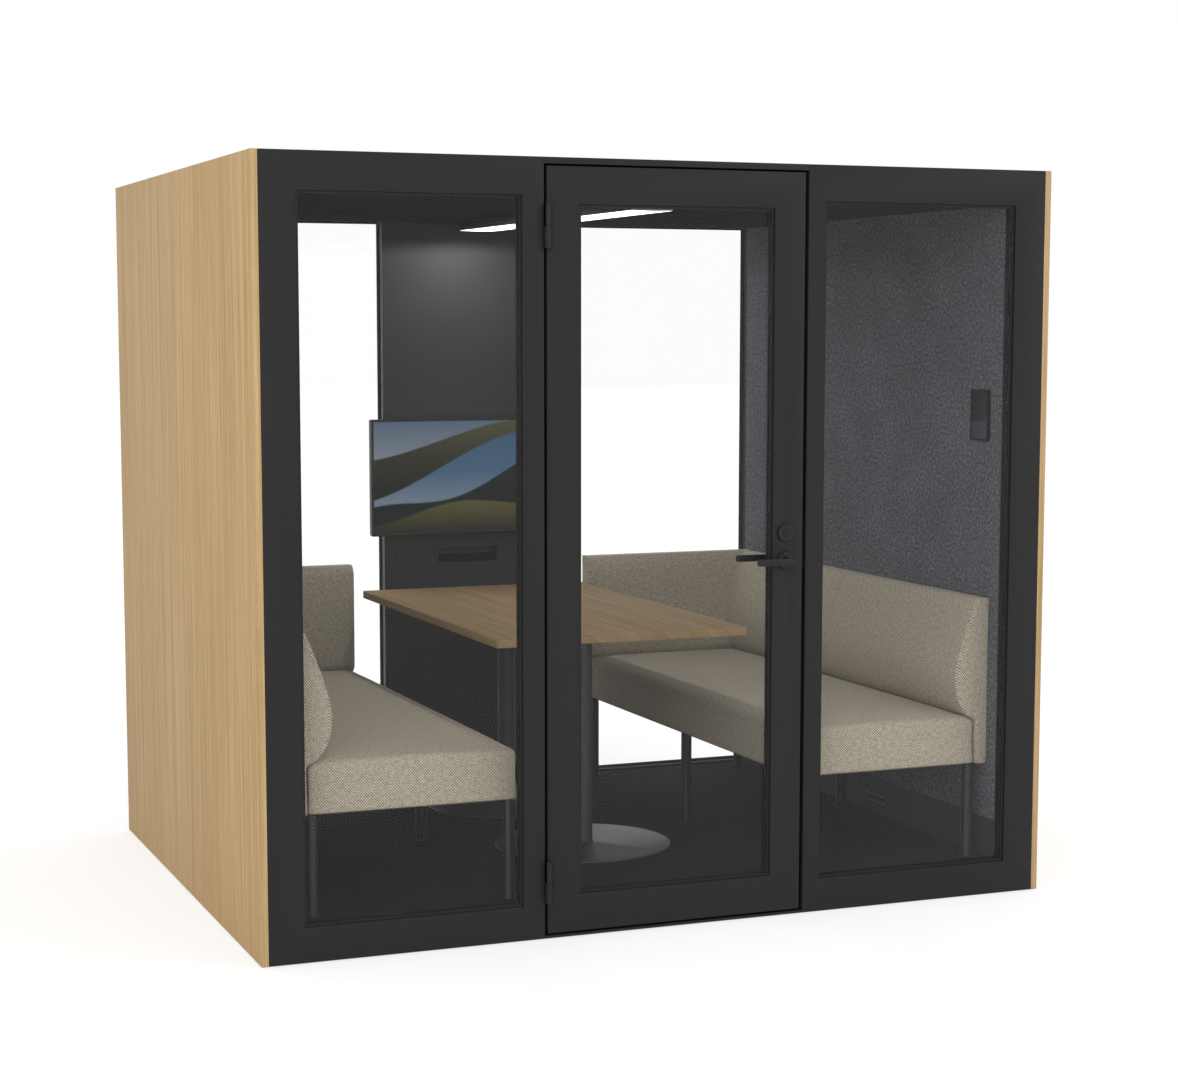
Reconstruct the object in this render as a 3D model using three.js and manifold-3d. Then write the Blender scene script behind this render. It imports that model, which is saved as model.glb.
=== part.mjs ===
// An acoustic meeting pod: a glazed booth with oak sides, a hinged glass door, two facing sofas,
// a table on two pedestals, a wall display and roof ventilation.
// Millimetres, +Z up, the glazed front faces -Y. The shell is built round its own middle on the ground,
// and the whole group is then shifted so that the origin lies under the middle of the overall box.

import * as THREE from 'three';
import { mergeVertices } from 'three/addons/utils/BufferGeometryUtils.js';
import loadManifold from 'manifold-3d';

// Shell
const POD_WIDTH = 2565;
const POD_DEPTH = 1990;
const POD_HEIGHT = 2300;
const SIDE_PANEL = 21;
const WALL_THICKNESS = 129.5;
const FELT = 12;
const BASE_HEIGHT = 92;
const CARPET = 6;
const ROOF_BUILD_UP = 105;
const CEILING_PANEL = 12;
const ROOF_RECESS = 4;
const FRAME_DEPTH = 60;
const GROUND_GAP = 2;
const FIT = 0.3;

// Plinth of the side walls and its air slots
const PLINTH_HEIGHT = 129;
const PLINTH_PROUD = 3;
const AIR_SLOTS = 3;
const AIR_SLOT_LENGTH = 140;
const AIR_SLOT_HEIGHT = 10;
const AIR_SLOT_PITCH = 25;
const AIR_SLOT_DEPTH = 24;
const AIR_SLOT_LEVEL = 65;
const AIR_SLOT_CENTRE = -155;

// Front and back glazing
const STILE_WIDTH = 106;
const HINGE_MULLION = 67;
const LOCK_MULLION = 55;
const WINDOW_BOTTOM = 105;
const FRONT_TOP_RAIL = 110;
const BACK_TOP_RAIL = 104;
const BACK_PANEL_WIDTH = 650;
const GLASS = 12;
const GLASS_RECESS = 12;
const GASKET_SIGHT = 8;
const GASKET_BITE = 5;
const GASKET_DEPTH = 20;

// Door leaf, its gaps, stop and seal
const DOOR_WIDTH = 833;
const HEAD_STRIP = 19;
const DOOR_OFFSET = 4.5;
const DOOR_LIFT = 17;
const DOOR_THICKNESS = 48;
const DOOR_STILE = 101;
const DOOR_TOP_RAIL = 108;
const DOOR_BOTTOM_RAIL = 112;
const HINGE_GAP = 9;
const LOCK_GAP = 12;
const HEAD_GAP = 6;
const SILL_GAP = 7;
const STOP_WIDTH = 33;
const STOP_THICKNESS = 6;
const STOP_ROOT = 10;
const SEAL_WIDTH = 12;
const SEAL_INSET = 5;

// Lift-off hinges
const HINGE_LENGTH = 130;
const HINGE_RADIUS = 8.5;
const HINGE_SPLIT = 1.5;
const HINGE_PIN_RADIUS = 4;
const HINGE_PIN_LENGTH = 40;
const HINGE_PLATE = 2.5;
const HINGE_PLATE_DEPTH = 48;
const HINGE_OFFSET = 1;
const LOWER_HINGE_RISE = 155;
const UPPER_HINGE_DROP = 172;

// Lever handle, latch, thumb turn and deadbolt
const LOCK_BACKSET = 58;
const LEVER_LEVEL = 1106;
const LOCK_LEVEL = 1190;
const ROSE_DIAMETER = 54;
const ROSE_THICKNESS = 8;
const LEVER_PROJECTION = 57;
const LEVER_LENGTH = 116;
const LEVER_HEIGHT = 20;
const LEVER_THICKNESS = 11;
const LEVER_NECK = 18;
const PLUG_DIAMETER = 22;
const PLUG_SLOT_LENGTH = 14;
const PLUG_SLOT_WIDTH = 2.4;
const PLUG_SLOT_DEPTH = 2;
const PLUG_PROUD = 1.5;
const THUMB_LENGTH = 38;
const THUMB_WIDTH = 13;
const THUMB_HEIGHT = 20;
const CASE_DEPTH = 85;
const CASE_THICKNESS = 20;
const CASE_MARGIN = 52;
const BOLT_LENGTH = 40;
const BOLT_THICKNESS = 12;
const BOLT_HEIGHT = 22;
const BOLT_THROW = 22;
const LATCH_LENGTH = 36;
const LATCH_NOSE_GAP = 3;
const STRIKE_THICKNESS = 2;
const STRIKE_WIDTH = 22;
const STRIKE_MARGIN = 30;
const STRIKE_HOLE_MARGIN = 1;
const STRIKE_POCKET_SPARE = 6;

// Ventilation fans in the roof
const FAN_OFFSET_X = 620;
const FAN_OFFSET_Y = 300;
const FAN_POCKET = 240;
const FAN_RUNNING_GAP = 8;
const FAN_HUB = 72;
const FAN_HEIGHT = 36;
const FAN_BLADES = 7;
const FAN_BLADE_THICKNESS = 3;
const FAN_BLADE_PITCH = 35;
const FAN_SHAFT = 12;
const FAN_DECK = 18;
const FAN_DECK_CLEARANCE = 6;
const FAN_BORE_DEPTH = 10;
const FAN_SLOTS = 14;
const FAN_SLOT_WIDTH = 11;
const FAN_SLOT_INNER = 30;
const FAN_SLOT_RIM = 10;

// Linear ceiling light
const LIGHT_END_GAP = 129;
const LIGHT_WIDTH = 144;
const LIGHT_DROP = 32;
const LIGHT_WALL = 4;
const LIGHT_RECESS = 10;
const LIGHT_CROWN = 3;

// Sofas, heights above the carpet
const SOFA_FRONT_GAP = 52;
const SEAT_UNDERSIDE = 307;
const SEAT_EDGE = 462;
const SEAT_CROWN = 11;
const SEAT_DEPTH = 650;
const SEAT_ROLL_HEIGHT = 30;
const SEAT_ROLL_OPEN = 22;
const SEAT_ROLL_WALL = 39;
const SEAT_CORNER_RADIUS = 12;
const SEAT_DRAW_IN = 3;
const SEAT_FLAT = 90;
const PAD_PANEL = 40;
const PAD_TUCK = 452;
const PAD_BULGE = 122;
const PAD_BULGE_HEIGHT = 590;
const PAD_TOP = 846;
const PAD_TOP_THICKNESS = 44;
const PAD_TOP_ROUND = 12;
const PAD_END_DRAW = 0.05;
const PAD_END_REACH = 50;
const PAD_END_DROP = 2;
const PAD_SPLIT_GAP = 1.2;
const WING_THICKNESS = 69;
const WING_TOP_THICKNESS = 50;
const WING_SHOULDER = 36;
const WING_FOOT_CURVE = 34;
const WING_GAP = 0.8;

// Bench frames let into the undersides of the seats
const LEG_DIAMETER = 37;
const LEG_INSET = 24;
const LEG_WALL_INSET = 14;
const LEG_GLIDE = 42;
const LEG_GLIDE_HEIGHT = 6;
const RAIL_WIDTH = 24;
const RAIL_HEIGHT = 14;
const RAIL_PROUD = 1;

// Table on two pedestals
const TABLE_WIDTH = 860;
const TABLE_LENGTH = 1476;
const TABLE_HEIGHT = 752;
const TABLE_TOP = 26;
const TABLE_CORNER = 12;
const TABLE_BACK_GAP = 59;
const COLUMN_SPREAD = 748;
const COLUMN_DIAMETER = 64;
const COLUMN_FLARE = 8;
const FOOT_DIAMETER = 586;
const FOOT_THICKNESS = 7;
const FOOT_CHAMFER = 2;
const SPIDER_LENGTH = 440;
const SPIDER_WIDTH = 60;
const SPIDER_THICKNESS = 6;

// Display, media port and wall control
const DISPLAY_WIDTH = 772;
const DISPLAY_HEIGHT = 430;
const DISPLAY_LEVEL = 1261;
const DISPLAY_STAND_OFF = 45;
const DISPLAY_THICKNESS = 30;
const DISPLAY_CORNER = 6;
const DISPLAY_BEZEL = 9;
const DISPLAY_SCREEN = 5;
const BRACKET_WIDTH = 420;
const BRACKET_HEIGHT = 220;
const PORT_WIDTH = 240;
const PORT_HEIGHT = 65;
const PORT_LEVEL = 965;
const PORT_DEPTH = 45;
const PORT_WALL = 5;
const CONTROL_WIDTH = 105;
const CONTROL_HEIGHT = 165;
const CONTROL_THICKNESS = 12;
const CONTROL_CORNER = 10;
const CONTROL_RIM = 5;
const CONTROL_RECESS = 1.5;
const CONTROL_LEVEL = 1532;
const CONTROL_SETBACK = 168;

// Smoothness of round stretches
const FINE_SIDES = 48;
const ROUND_SIDES = 24;
const LEG_SIDES = 14;
const CURVE_STEPS = 8;

// Places that follow from the sizes above
const halfWidth = POD_WIDTH / 2;
const frontY = -POD_DEPTH / 2;
const backY = POD_DEPTH / 2;
const insideFront = frontY + FRAME_DEPTH;
const insideBack = backY - FRAME_DEPTH;
const panelInside = halfWidth - SIDE_PANEL;
const feltFace = halfWidth - WALL_THICKNESS;
const coreFace = feltFace + FELT;
const plinthFace = feltFace - PLINTH_PROUD;
const floorZ = BASE_HEIGHT + CARPET;
const plinthTop = floorZ + PLINTH_HEIGHT;
const ceilingZ = POD_HEIGHT - ROOF_BUILD_UP;
const ceilingTop = ceilingZ + CEILING_PANEL;
const roofTop = POD_HEIGHT - ROOF_RECESS;
const windowEdge = panelInside - STILE_WIDTH;
const frontWindowTop = POD_HEIGHT - FRONT_TOP_RAIL;
const backWindowTop = POD_HEIGHT - BACK_TOP_RAIL;

const doorLeft = DOOR_OFFSET - DOOR_WIDTH / 2;
const doorRight = DOOR_OFFSET + DOOR_WIDTH / 2;
const openingTop = POD_HEIGHT - HEAD_STRIP;
const doorTop = openingTop - HEAD_GAP;
const doorBack = frontY + DOOR_THICKNESS;
const doorMiddle = frontY + DOOR_THICKNESS / 2;
const openingLeft = doorLeft - HINGE_GAP;
const openingRight = doorRight + LOCK_GAP;
const openingBottom = DOOR_LIFT - SILL_GAP;
const stopFront = insideFront - STOP_THICKNESS;
const lockX = doorRight - LOCK_BACKSET;
const hingeX = doorLeft + HINGE_OFFSET;
const hingeY = frontY - HINGE_RADIUS - FIT;

const padBack = feltFace - FIT;
const wingBack = insideBack - FIT;
const wingFront = wingBack - WING_THICKNESS;
const sofaFront = insideFront + SOFA_FRONT_GAP;
const seatOuter = padBack - PAD_PANEL - FIT;
const seatInner = seatOuter - SEAT_DEPTH;
const seatRear = wingBack - PAD_PANEL - FIT;
const seatBottom = floorZ + SEAT_UNDERSIDE;
const padSplit = (sofaFront + wingBack) / 2;
const tableMiddle = insideBack - TABLE_BACK_GAP - TABLE_LENGTH / 2;

// Finishes
const OAK = { color: 0xc8a982, roughness: 0.62, metalness: 0 };
const TABLE_OAK = { color: 0xb08a62, roughness: 0.55, metalness: 0 };
const CHARCOAL_PAINT = { color: 0x34353a, roughness: 0.55, metalness: 0.2 };
const BLACK_METAL = { color: 0x1f2022, roughness: 0.42, metalness: 0.6 };
const BLACK_RUBBER = { color: 0x101011, roughness: 0.85, metalness: 0 };
const CLEAR_GLASS = { color: 0xdfe8ea, roughness: 0.05, metalness: 0, transparent: true, opacity: 0.18 };
const GREY_FELT = { color: 0x4a4a4d, roughness: 0.98, metalness: 0 };
const TWEED = { color: 0x8f8574, roughness: 0.97, metalness: 0 };
const DARK_CARPET = { color: 0x2b2b2d, roughness: 1, metalness: 0 };
const LIGHT_COVER = { color: 0xffffff, roughness: 0.5, metalness: 0, emissive: 0xffffff };
const BLACK_PLASTIC = { color: 0x18191b, roughness: 0.5, metalness: 0 };
const SCREEN = { color: 0x41586f, roughness: 0.2, metalness: 0 };
const STEEL = { color: 0x9a9c9e, roughness: 0.35, metalness: 0.9 };

const manifold = await loadManifold();
manifold.setup();

/** Keeps only positions, merges shared corners, drops faces of no area and turns the faces outwards. */
function closed(geometry) {
  const bare = new THREE.BufferGeometry();
  bare.setAttribute('position', geometry.getAttribute('position'));
  bare.setIndex(geometry.getIndex());
  const merged = mergeVertices(bare, 1e-3);
  const position = merged.getAttribute('position');
  const corner = (i) => new THREE.Vector3().fromBufferAttribute(position, i);
  const source = merged.getIndex().array;
  const faces = [];
  let volume = 0;
  for (let i = 0; i < source.length; i += 3) {
    const [a, b, c] = [source[i], source[i + 1], source[i + 2]];
    if (a === b || b === c || c === a) continue;
    faces.push([a, b, c]);
    volume += corner(a).dot(corner(b).cross(corner(c)));
  }
  const outward = volume < 0 ? faces.map(([a, b, c]) => [a, c, b]) : faces;
  merged.setIndex(outward.flat());
  return merged;
}

function toSolid(geometry) {
  const ready = closed(geometry);
  return new manifold.Manifold(new manifold.Mesh({
    numProp: 3,
    vertProperties: Float32Array.from(ready.getAttribute('position').array),
    triVerts: Uint32Array.from(ready.getIndex().array),
  }));
}

function fromSolid(solid) {
  const mesh = solid.getMesh();
  const geometry = new THREE.BufferGeometry();
  geometry.setAttribute('position', new THREE.BufferAttribute(mesh.vertProperties, 3));
  geometry.setIndex(new THREE.BufferAttribute(mesh.triVerts, 1));
  return geometry;
}

/** One geometry less all the others. */
function cut(body, ...tools) {
  return fromSolid(tools.reduce((solid, tool) => solid.subtract(toSolid(tool)), toSolid(body)));
}

/** All the geometries as one body. */
function join(body, ...others) {
  return fromSolid(others.reduce((solid, other) => solid.add(toSolid(other)), toSolid(body)));
}

function block(x0, x1, y0, y1, z0, z1) {
  const geometry = new THREE.BoxGeometry(x1 - x0, y1 - y0, z1 - z0);
  return geometry.translate((x0 + x1) / 2, (y0 + y1) / 2, (z0 + z1) / 2);
}

/** A rectangle with optional round corners, as an outline to extrude. */
function rectangle(a0, a1, b0, b1, radius = 0) {
  const outline = new THREE.Shape();
  if (radius === 0) {
    outline.moveTo(a0, b0).lineTo(a1, b0).lineTo(a1, b1).lineTo(a0, b1).closePath();
    return outline;
  }
  outline.moveTo(a0 + radius, b0).lineTo(a1 - radius, b0);
  outline.absarc(a1 - radius, b0 + radius, radius, -Math.PI / 2, 0);
  outline.absarc(a1 - radius, b1 - radius, radius, 0, Math.PI / 2);
  outline.absarc(a0 + radius, b1 - radius, radius, Math.PI / 2, Math.PI);
  outline.absarc(a0 + radius, b0 + radius, radius, Math.PI, 1.5 * Math.PI);
  return outline;
}

function polygon(points) {
  return new THREE.Shape(points.map(([a, b]) => new THREE.Vector2(a, b)));
}

function withHoles(outline, ...holes) {
  outline.holes.push(...holes);
  return outline;
}

function extrude(outline, depth) {
  return new THREE.ExtrudeGeometry(outline, { depth, bevelEnabled: false, curveSegments: CURVE_STEPS });
}

/** Extrudes an outline drawn in X and Y upwards. */
function extrudeUp(outline, z0, z1) {
  return extrude(outline, z1 - z0).translate(0, 0, z0);
}

/** Extrudes an outline drawn in X and Z from front to back. */
function extrudeBack(outline, y0, y1) {
  return extrude(outline, y1 - y0).rotateX(Math.PI / 2).translate(0, y1, 0);
}

/** Extrudes an outline drawn in Y and Z from left to right. */
function extrudeAcross(outline, x0, x1) {
  const turn = new THREE.Matrix4().makeBasis(
    new THREE.Vector3(0, 1, 0),
    new THREE.Vector3(0, 0, 1),
    new THREE.Vector3(1, 0, 0),
  );
  return extrude(outline, x1 - x0).applyMatrix4(turn).translate(x0, 0, 0);
}

/** Revolves a profile of [radius, height] points about the Z axis. */
function turned(profile, sides) {
  const points = profile.map(([radius, height]) => new THREE.Vector2(radius, height));
  return closed(new THREE.LatheGeometry(points, sides).rotateX(Math.PI / 2));
}

/** A round rod between two points that differ along one axis only. */
function rod(radius, from, to, sides) {
  const start = new THREE.Vector3(...from);
  const end = new THREE.Vector3(...to);
  const geometry = new THREE.CylinderGeometry(radius, radius, start.distanceTo(end), sides);
  const direction = end.clone().sub(start).normalize();
  geometry.applyQuaternion(new THREE.Quaternion().setFromUnitVectors(new THREE.Vector3(0, 1, 0), direction));
  return geometry.translate(...start.lerp(end, 0.5).toArray());
}

/** Joins closed rings of equally many points into a skin, with a flat cap on the first and the last. */
function loft(rings, flatten) {
  const count = rings[0].length;
  const index = [];
  for (let r = 0; r + 1 < rings.length; r += 1) {
    for (let i = 0; i < count; i += 1) {
      const a = r * count + i;
      const b = r * count + ((i + 1) % count);
      index.push(a, b, b + count, a, b + count, a + count);
    }
  }
  const ringArea = THREE.ShapeUtils.area(rings[0].map(flatten));
  const addCap = (ring, start, facing) => {
    const flat = ring.map(flatten);
    for (const [a, b, c] of THREE.ShapeUtils.triangulateShape(flat, [])) {
      const area = THREE.ShapeUtils.area([flat[a], flat[b], flat[c]]);
      const face = area * ringArea * facing > 0 ? [a, b, c] : [a, c, b];
      index.push(...face.map((i) => start + i));
    }
  };
  addCap(rings[0], 0, -1);
  addCap(rings.at(-1), (rings.length - 1) * count, 1);
  const geometry = new THREE.BufferGeometry();
  const positions = rings.flat().flatMap((point) => point.toArray());
  geometry.setAttribute('position', new THREE.Float32BufferAttribute(positions, 3));
  geometry.setIndex(index);
  return geometry;
}

/** The same geometry on the left or the right, from one drawn on the right. */
function onSide(side, geometry) {
  return geometry.clone().scale(side, 1, 1);
}

const SIDES = [[-1, 'left'], [1, 'right']];

const pod = new THREE.Group();
pod.name = 'acoustic_pod';
pod.position.y = LEVER_PROJECTION / 2;

function subAssembly(name) {
  const group = new THREE.Group();
  group.name = name;
  pod.add(group);
  return group;
}

function addPiece(group, name, geometry, finish) {
  const material = new THREE.MeshStandardMaterial({ ...finish, flatShading: true });
  const mesh = new THREE.Mesh(closed(geometry), material);
  mesh.name = name;
  group.add(mesh);
}

/** Slots that fan out round a centre, shared by the ceiling and the roof deck over a fan. */
function radialSlots(x, y, z0, z1) {
  const outer = FAN_POCKET / 2 - FAN_SLOT_RIM;
  return Array.from({ length: FAN_SLOTS }, (_, i) => {
    const slot = rectangle(FAN_SLOT_INNER, outer, -FAN_SLOT_WIDTH / 2, FAN_SLOT_WIDTH / 2);
    return extrudeUp(slot, z0, z1).rotateZ((i / FAN_SLOTS) * 2 * Math.PI).translate(x, y, 0);
  });
}

function buildShell() {
  const group = subAssembly('shell');
  const y0 = insideFront + FIT;
  const y1 = insideBack - FIT;
  const coreOuter = panelInside - FIT;
  const wallProfile = polygon([
    [plinthFace, BASE_HEIGHT + FIT],
    [coreOuter, BASE_HEIGHT + FIT],
    [coreOuter, ceilingTop],
    [coreFace + FIT, ceilingTop],
    [coreFace + FIT, plinthTop - FIT],
    [plinthFace, plinthTop - FIT],
  ]);
  const slots = Array.from({ length: AIR_SLOTS }, (_, i) => {
    const level = floorZ + AIR_SLOT_LEVEL + (i - (AIR_SLOTS - 1) / 2) * AIR_SLOT_PITCH;
    const outline = rectangle(
      AIR_SLOT_CENTRE - AIR_SLOT_LENGTH / 2,
      AIR_SLOT_CENTRE + AIR_SLOT_LENGTH / 2,
      level - AIR_SLOT_HEIGHT / 2,
      level + AIR_SLOT_HEIGHT / 2,
    );
    return extrudeAcross(outline, plinthFace - 1, plinthFace + AIR_SLOT_DEPTH);
  });
  const wall = cut(extrudeBack(wallProfile, y0, y1), ...slots);
  const felt = block(feltFace, coreFace, y0, y1, plinthTop, ceilingZ - FIT);
  const panel = block(panelInside, halfWidth, frontY, backY, GROUND_GAP, POD_HEIGHT);
  for (const [side, word] of SIDES) {
    addPiece(group, `side_panel_${word}`, onSide(side, panel), OAK);
    addPiece(group, `wall_${word}`, onSide(side, wall), CHARCOAL_PAINT);
    addPiece(group, `felt_${word}`, onSide(side, felt), GREY_FELT);
  }

  const carpetEdge = plinthFace - FIT;
  addPiece(group, 'base', block(-coreOuter, coreOuter, y0, y1, 0, BASE_HEIGHT), CHARCOAL_PAINT);
  addPiece(group, 'carpet', block(-carpetEdge, carpetEdge, y0, y1, BASE_HEIGHT + FIT, floorZ), DARK_CARPET);

  const pocketTop = roofTop - FAN_DECK;
  const ceilingCuts = [];
  const roofCuts = [];
  for (const [side] of SIDES) {
    const x = side * FAN_OFFSET_X;
    ceilingCuts.push(...radialSlots(x, FAN_OFFSET_Y, ceilingZ - 1, ceilingTop + 1));
    roofCuts.push(...radialSlots(x, FAN_OFFSET_Y, pocketTop - 1, roofTop + 1));
    const upright = (radius, z0, z1) => {
      return rod(radius, [x, FAN_OFFSET_Y, z0], [x, FAN_OFFSET_Y, z1], ROUND_SIDES);
    };
    roofCuts.push(upright(FAN_POCKET / 2, ceilingTop - 1, pocketTop));
    roofCuts.push(upright(FAN_SHAFT / 2 + FIT, pocketTop - 1, pocketTop + FAN_BORE_DEPTH));
  }
  const ceiling = block(-coreFace, coreFace, y0, y1, ceilingZ, ceilingTop);
  const roof = block(-coreOuter, coreOuter, y0, y1, ceilingTop + FIT, roofTop);
  addPiece(group, 'ceiling', cut(ceiling, ...ceilingCuts), CHARCOAL_PAINT);
  addPiece(group, 'roof', cut(roof, ...roofCuts), CHARCOAL_PAINT);
}

function buildFans() {
  const group = subAssembly('ventilation');
  const radius = FAN_POCKET / 2 - FAN_RUNNING_GAP;
  const top = roofTop - FAN_DECK - FAN_DECK_CLEARANCE;
  const middle = top - FAN_HEIGHT / 2;
  const hub = rod(FAN_HUB / 2, [0, 0, top - FAN_HEIGHT], [0, 0, top], ROUND_SIDES);
  const shaftTop = roofTop - FAN_DECK + FAN_BORE_DEPTH - FIT;
  const shaft = rod(FAN_SHAFT / 2, [0, 0, middle], [0, 0, shaftTop], ROUND_SIDES);
  const pitch = THREE.MathUtils.degToRad(FAN_BLADE_PITCH);
  const chord = FAN_HEIGHT / Math.cos(pitch) - FAN_BLADE_THICKNESS * Math.tan(pitch);
  const root = FAN_HUB / 2 - FAN_BLADE_THICKNESS;
  const blades = Array.from({ length: FAN_BLADES }, (_, i) => {
    const blade = new THREE.BoxGeometry(radius - root, FAN_BLADE_THICKNESS, chord);
    blade.rotateX(pitch).translate((radius + root) / 2, 0, middle);
    return blade.rotateZ((i / FAN_BLADES) * 2 * Math.PI);
  });
  const rotor = join(hub, shaft, ...blades);
  for (const [side, word] of SIDES) {
    const placed = rotor.clone().translate(side * FAN_OFFSET_X, FAN_OFFSET_Y, 0);
    addPiece(group, `fan_rotor_${word}`, placed, BLACK_PLASTIC);
  }
}

function buildLight() {
  const group = subAssembly('light');
  const half = LIGHT_WIDTH / 2;
  const inner = half - LIGHT_WALL;
  const bottom = ceilingZ - LIGHT_DROP;
  const top = ceilingZ - FIT;
  const recess = bottom + LIGHT_RECESS;
  const y0 = insideFront + LIGHT_END_GAP;
  const y1 = insideBack - LIGHT_END_GAP;
  const channel = polygon([
    [-half, bottom], [-inner, bottom], [-inner, recess], [inner, recess],
    [inner, bottom], [half, bottom], [half, top], [-half, top],
  ]);
  const edge = inner - FIT;
  const cover = new THREE.Shape();
  cover.moveTo(-edge, recess - FIT).lineTo(-edge, bottom);
  cover.quadraticCurveTo(0, bottom - LIGHT_CROWN, edge, bottom);
  cover.lineTo(edge, recess - FIT);
  addPiece(group, 'light_housing', extrudeBack(channel, y0, y1), BLACK_METAL);
  addPiece(group, 'light_diffuser', extrudeBack(cover, y0, y1), LIGHT_COVER);
}

/** A pane in a channel gasket that fills an opening, given as its left, right, bottom and top. */
function glaze(group, paneName, gasketName, [x0, x1, z0, z1], paneFront) {
  const edge = FIT + GASKET_SIGHT - GASKET_BITE;
  const paneBack = paneFront + GLASS;
  const gasketFront = (paneFront + paneBack - GASKET_DEPTH) / 2;
  const sight = FIT + GASKET_SIGHT;
  const pane = (grow) => block(
    x0 + edge - grow, x1 - edge + grow, paneFront - grow, paneBack + grow, z0 + edge - grow, z1 - edge + grow,
  );
  const ring = withHoles(
    rectangle(x0 + FIT, x1 - FIT, z0 + FIT, z1 - FIT),
    rectangle(x0 + sight, x1 - sight, z0 + sight, z1 - sight),
  );
  addPiece(group, paneName, pane(0), CLEAR_GLASS);
  const gasket = extrudeBack(ring, gasketFront, gasketFront + GASKET_DEPTH);
  addPiece(group, gasketName, cut(gasket, pane(FIT)), BLACK_RUBBER);
}

/** The pockets in the lock mullion: a bed for the strike plate and a hole behind each bolt. */
function strikeCuts() {
  const bed = block(
    openingRight - 1, openingRight + STRIKE_THICKNESS + FIT,
    doorMiddle - STRIKE_WIDTH / 2 - FIT, doorMiddle + STRIKE_WIDTH / 2 + FIT,
    LEVER_LEVEL - STRIKE_MARGIN - FIT, LOCK_LEVEL + STRIKE_MARGIN + FIT,
  );
  const depth = BOLT_THROW - LOCK_GAP + STRIKE_POCKET_SPARE;
  const halfY = BOLT_THICKNESS / 2 + STRIKE_HOLE_MARGIN;
  const halfZ = BOLT_HEIGHT / 2 + STRIKE_HOLE_MARGIN;
  const pockets = [LEVER_LEVEL, LOCK_LEVEL].map((level) => block(
    openingRight - 1, openingRight + depth,
    doorMiddle - halfY, doorMiddle + halfY, level - halfZ, level + halfZ,
  ));
  return [bed, ...pockets];
}

function buildFront() {
  const group = subAssembly('front');
  const outer = panelInside - FIT;
  const leftWindow = [-windowEdge, openingLeft - HINGE_MULLION, WINDOW_BOTTOM, frontWindowTop];
  const rightWindow = [openingRight + LOCK_MULLION, windowEdge, WINDOW_BOTTOM, frontWindowTop];
  const frame = (x0, x1, hole) => extrudeBack(
    withHoles(rectangle(x0, x1, GROUND_GAP, POD_HEIGHT), rectangle(...hole)), frontY, insideFront,
  );
  const stop = (x0, x1) => block(x0, x1, stopFront, insideFront, floorZ, ceilingZ);
  const leftStop = stop(openingLeft - STOP_ROOT, openingLeft + STOP_WIDTH);
  const rightStop = stop(openingRight - STOP_WIDTH, openingRight + STOP_ROOT);
  const rightFrame = join(frame(openingRight, outer, rightWindow), rightStop);
  addPiece(group, 'front_frame_left', join(frame(-outer, openingLeft, leftWindow), leftStop), CHARCOAL_PAINT);
  addPiece(group, 'front_frame_right', cut(rightFrame, ...strikeCuts()), CHARCOAL_PAINT);

  const headProfile = polygon([
    [frontY, openingTop], [stopFront, openingTop], [stopFront, ceilingZ + FIT],
    [insideFront, ceilingZ + FIT], [insideFront, POD_HEIGHT], [frontY, POD_HEIGHT],
  ]);
  const sillProfile = polygon([
    [frontY, GROUND_GAP], [insideFront, GROUND_GAP], [insideFront, floorZ - FIT],
    [stopFront, floorZ - FIT], [stopFront, openingBottom], [frontY, openingBottom],
  ]);
  const x0 = openingLeft + FIT;
  const x1 = openingRight - FIT;
  addPiece(group, 'front_head', extrudeAcross(headProfile, x0, x1), CHARCOAL_PAINT);
  addPiece(group, 'front_sill', extrudeAcross(sillProfile, x0, x1), CHARCOAL_PAINT);
  glaze(group, 'front_glass_left', 'front_gasket_left', leftWindow, frontY + GLASS_RECESS);
  glaze(group, 'front_glass_right', 'front_gasket_right', rightWindow, frontY + GLASS_RECESS);
}

function buildBack() {
  const group = subAssembly('back');
  const outer = panelInside - FIT;
  const ring = withHoles(
    rectangle(-outer, outer, GROUND_GAP, POD_HEIGHT),
    rectangle(-windowEdge, windowEdge, WINDOW_BOTTOM, backWindowTop),
  );
  addPiece(group, 'back_frame', extrudeBack(ring, insideBack, backY), CHARCOAL_PAINT);

  const half = BACK_PANEL_WIDTH / 2;
  const z0 = WINDOW_BOTTOM + FIT;
  const z1 = backWindowTop - FIT;
  const panel = block(-half, half, insideBack, backY, z0, z1);
  const portCut = block(
    -PORT_WIDTH / 2 - FIT, PORT_WIDTH / 2 + FIT, insideBack - 1, insideBack + PORT_DEPTH + FIT,
    PORT_LEVEL - PORT_HEIGHT / 2 - FIT, PORT_LEVEL + PORT_HEIGHT / 2 + FIT,
  );
  addPiece(group, 'back_panel', cut(panel, portCut), CHARCOAL_PAINT);
  const paneBack = backY - GLASS_RECESS;
  const pane = block(half + FIT, windowEdge - FIT, paneBack - GLASS, paneBack, z0, z1);
  for (const [side, word] of SIDES) {
    addPiece(group, `back_glass_${word}`, onSide(side, pane), CLEAR_GLASS);
  }
}

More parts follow.
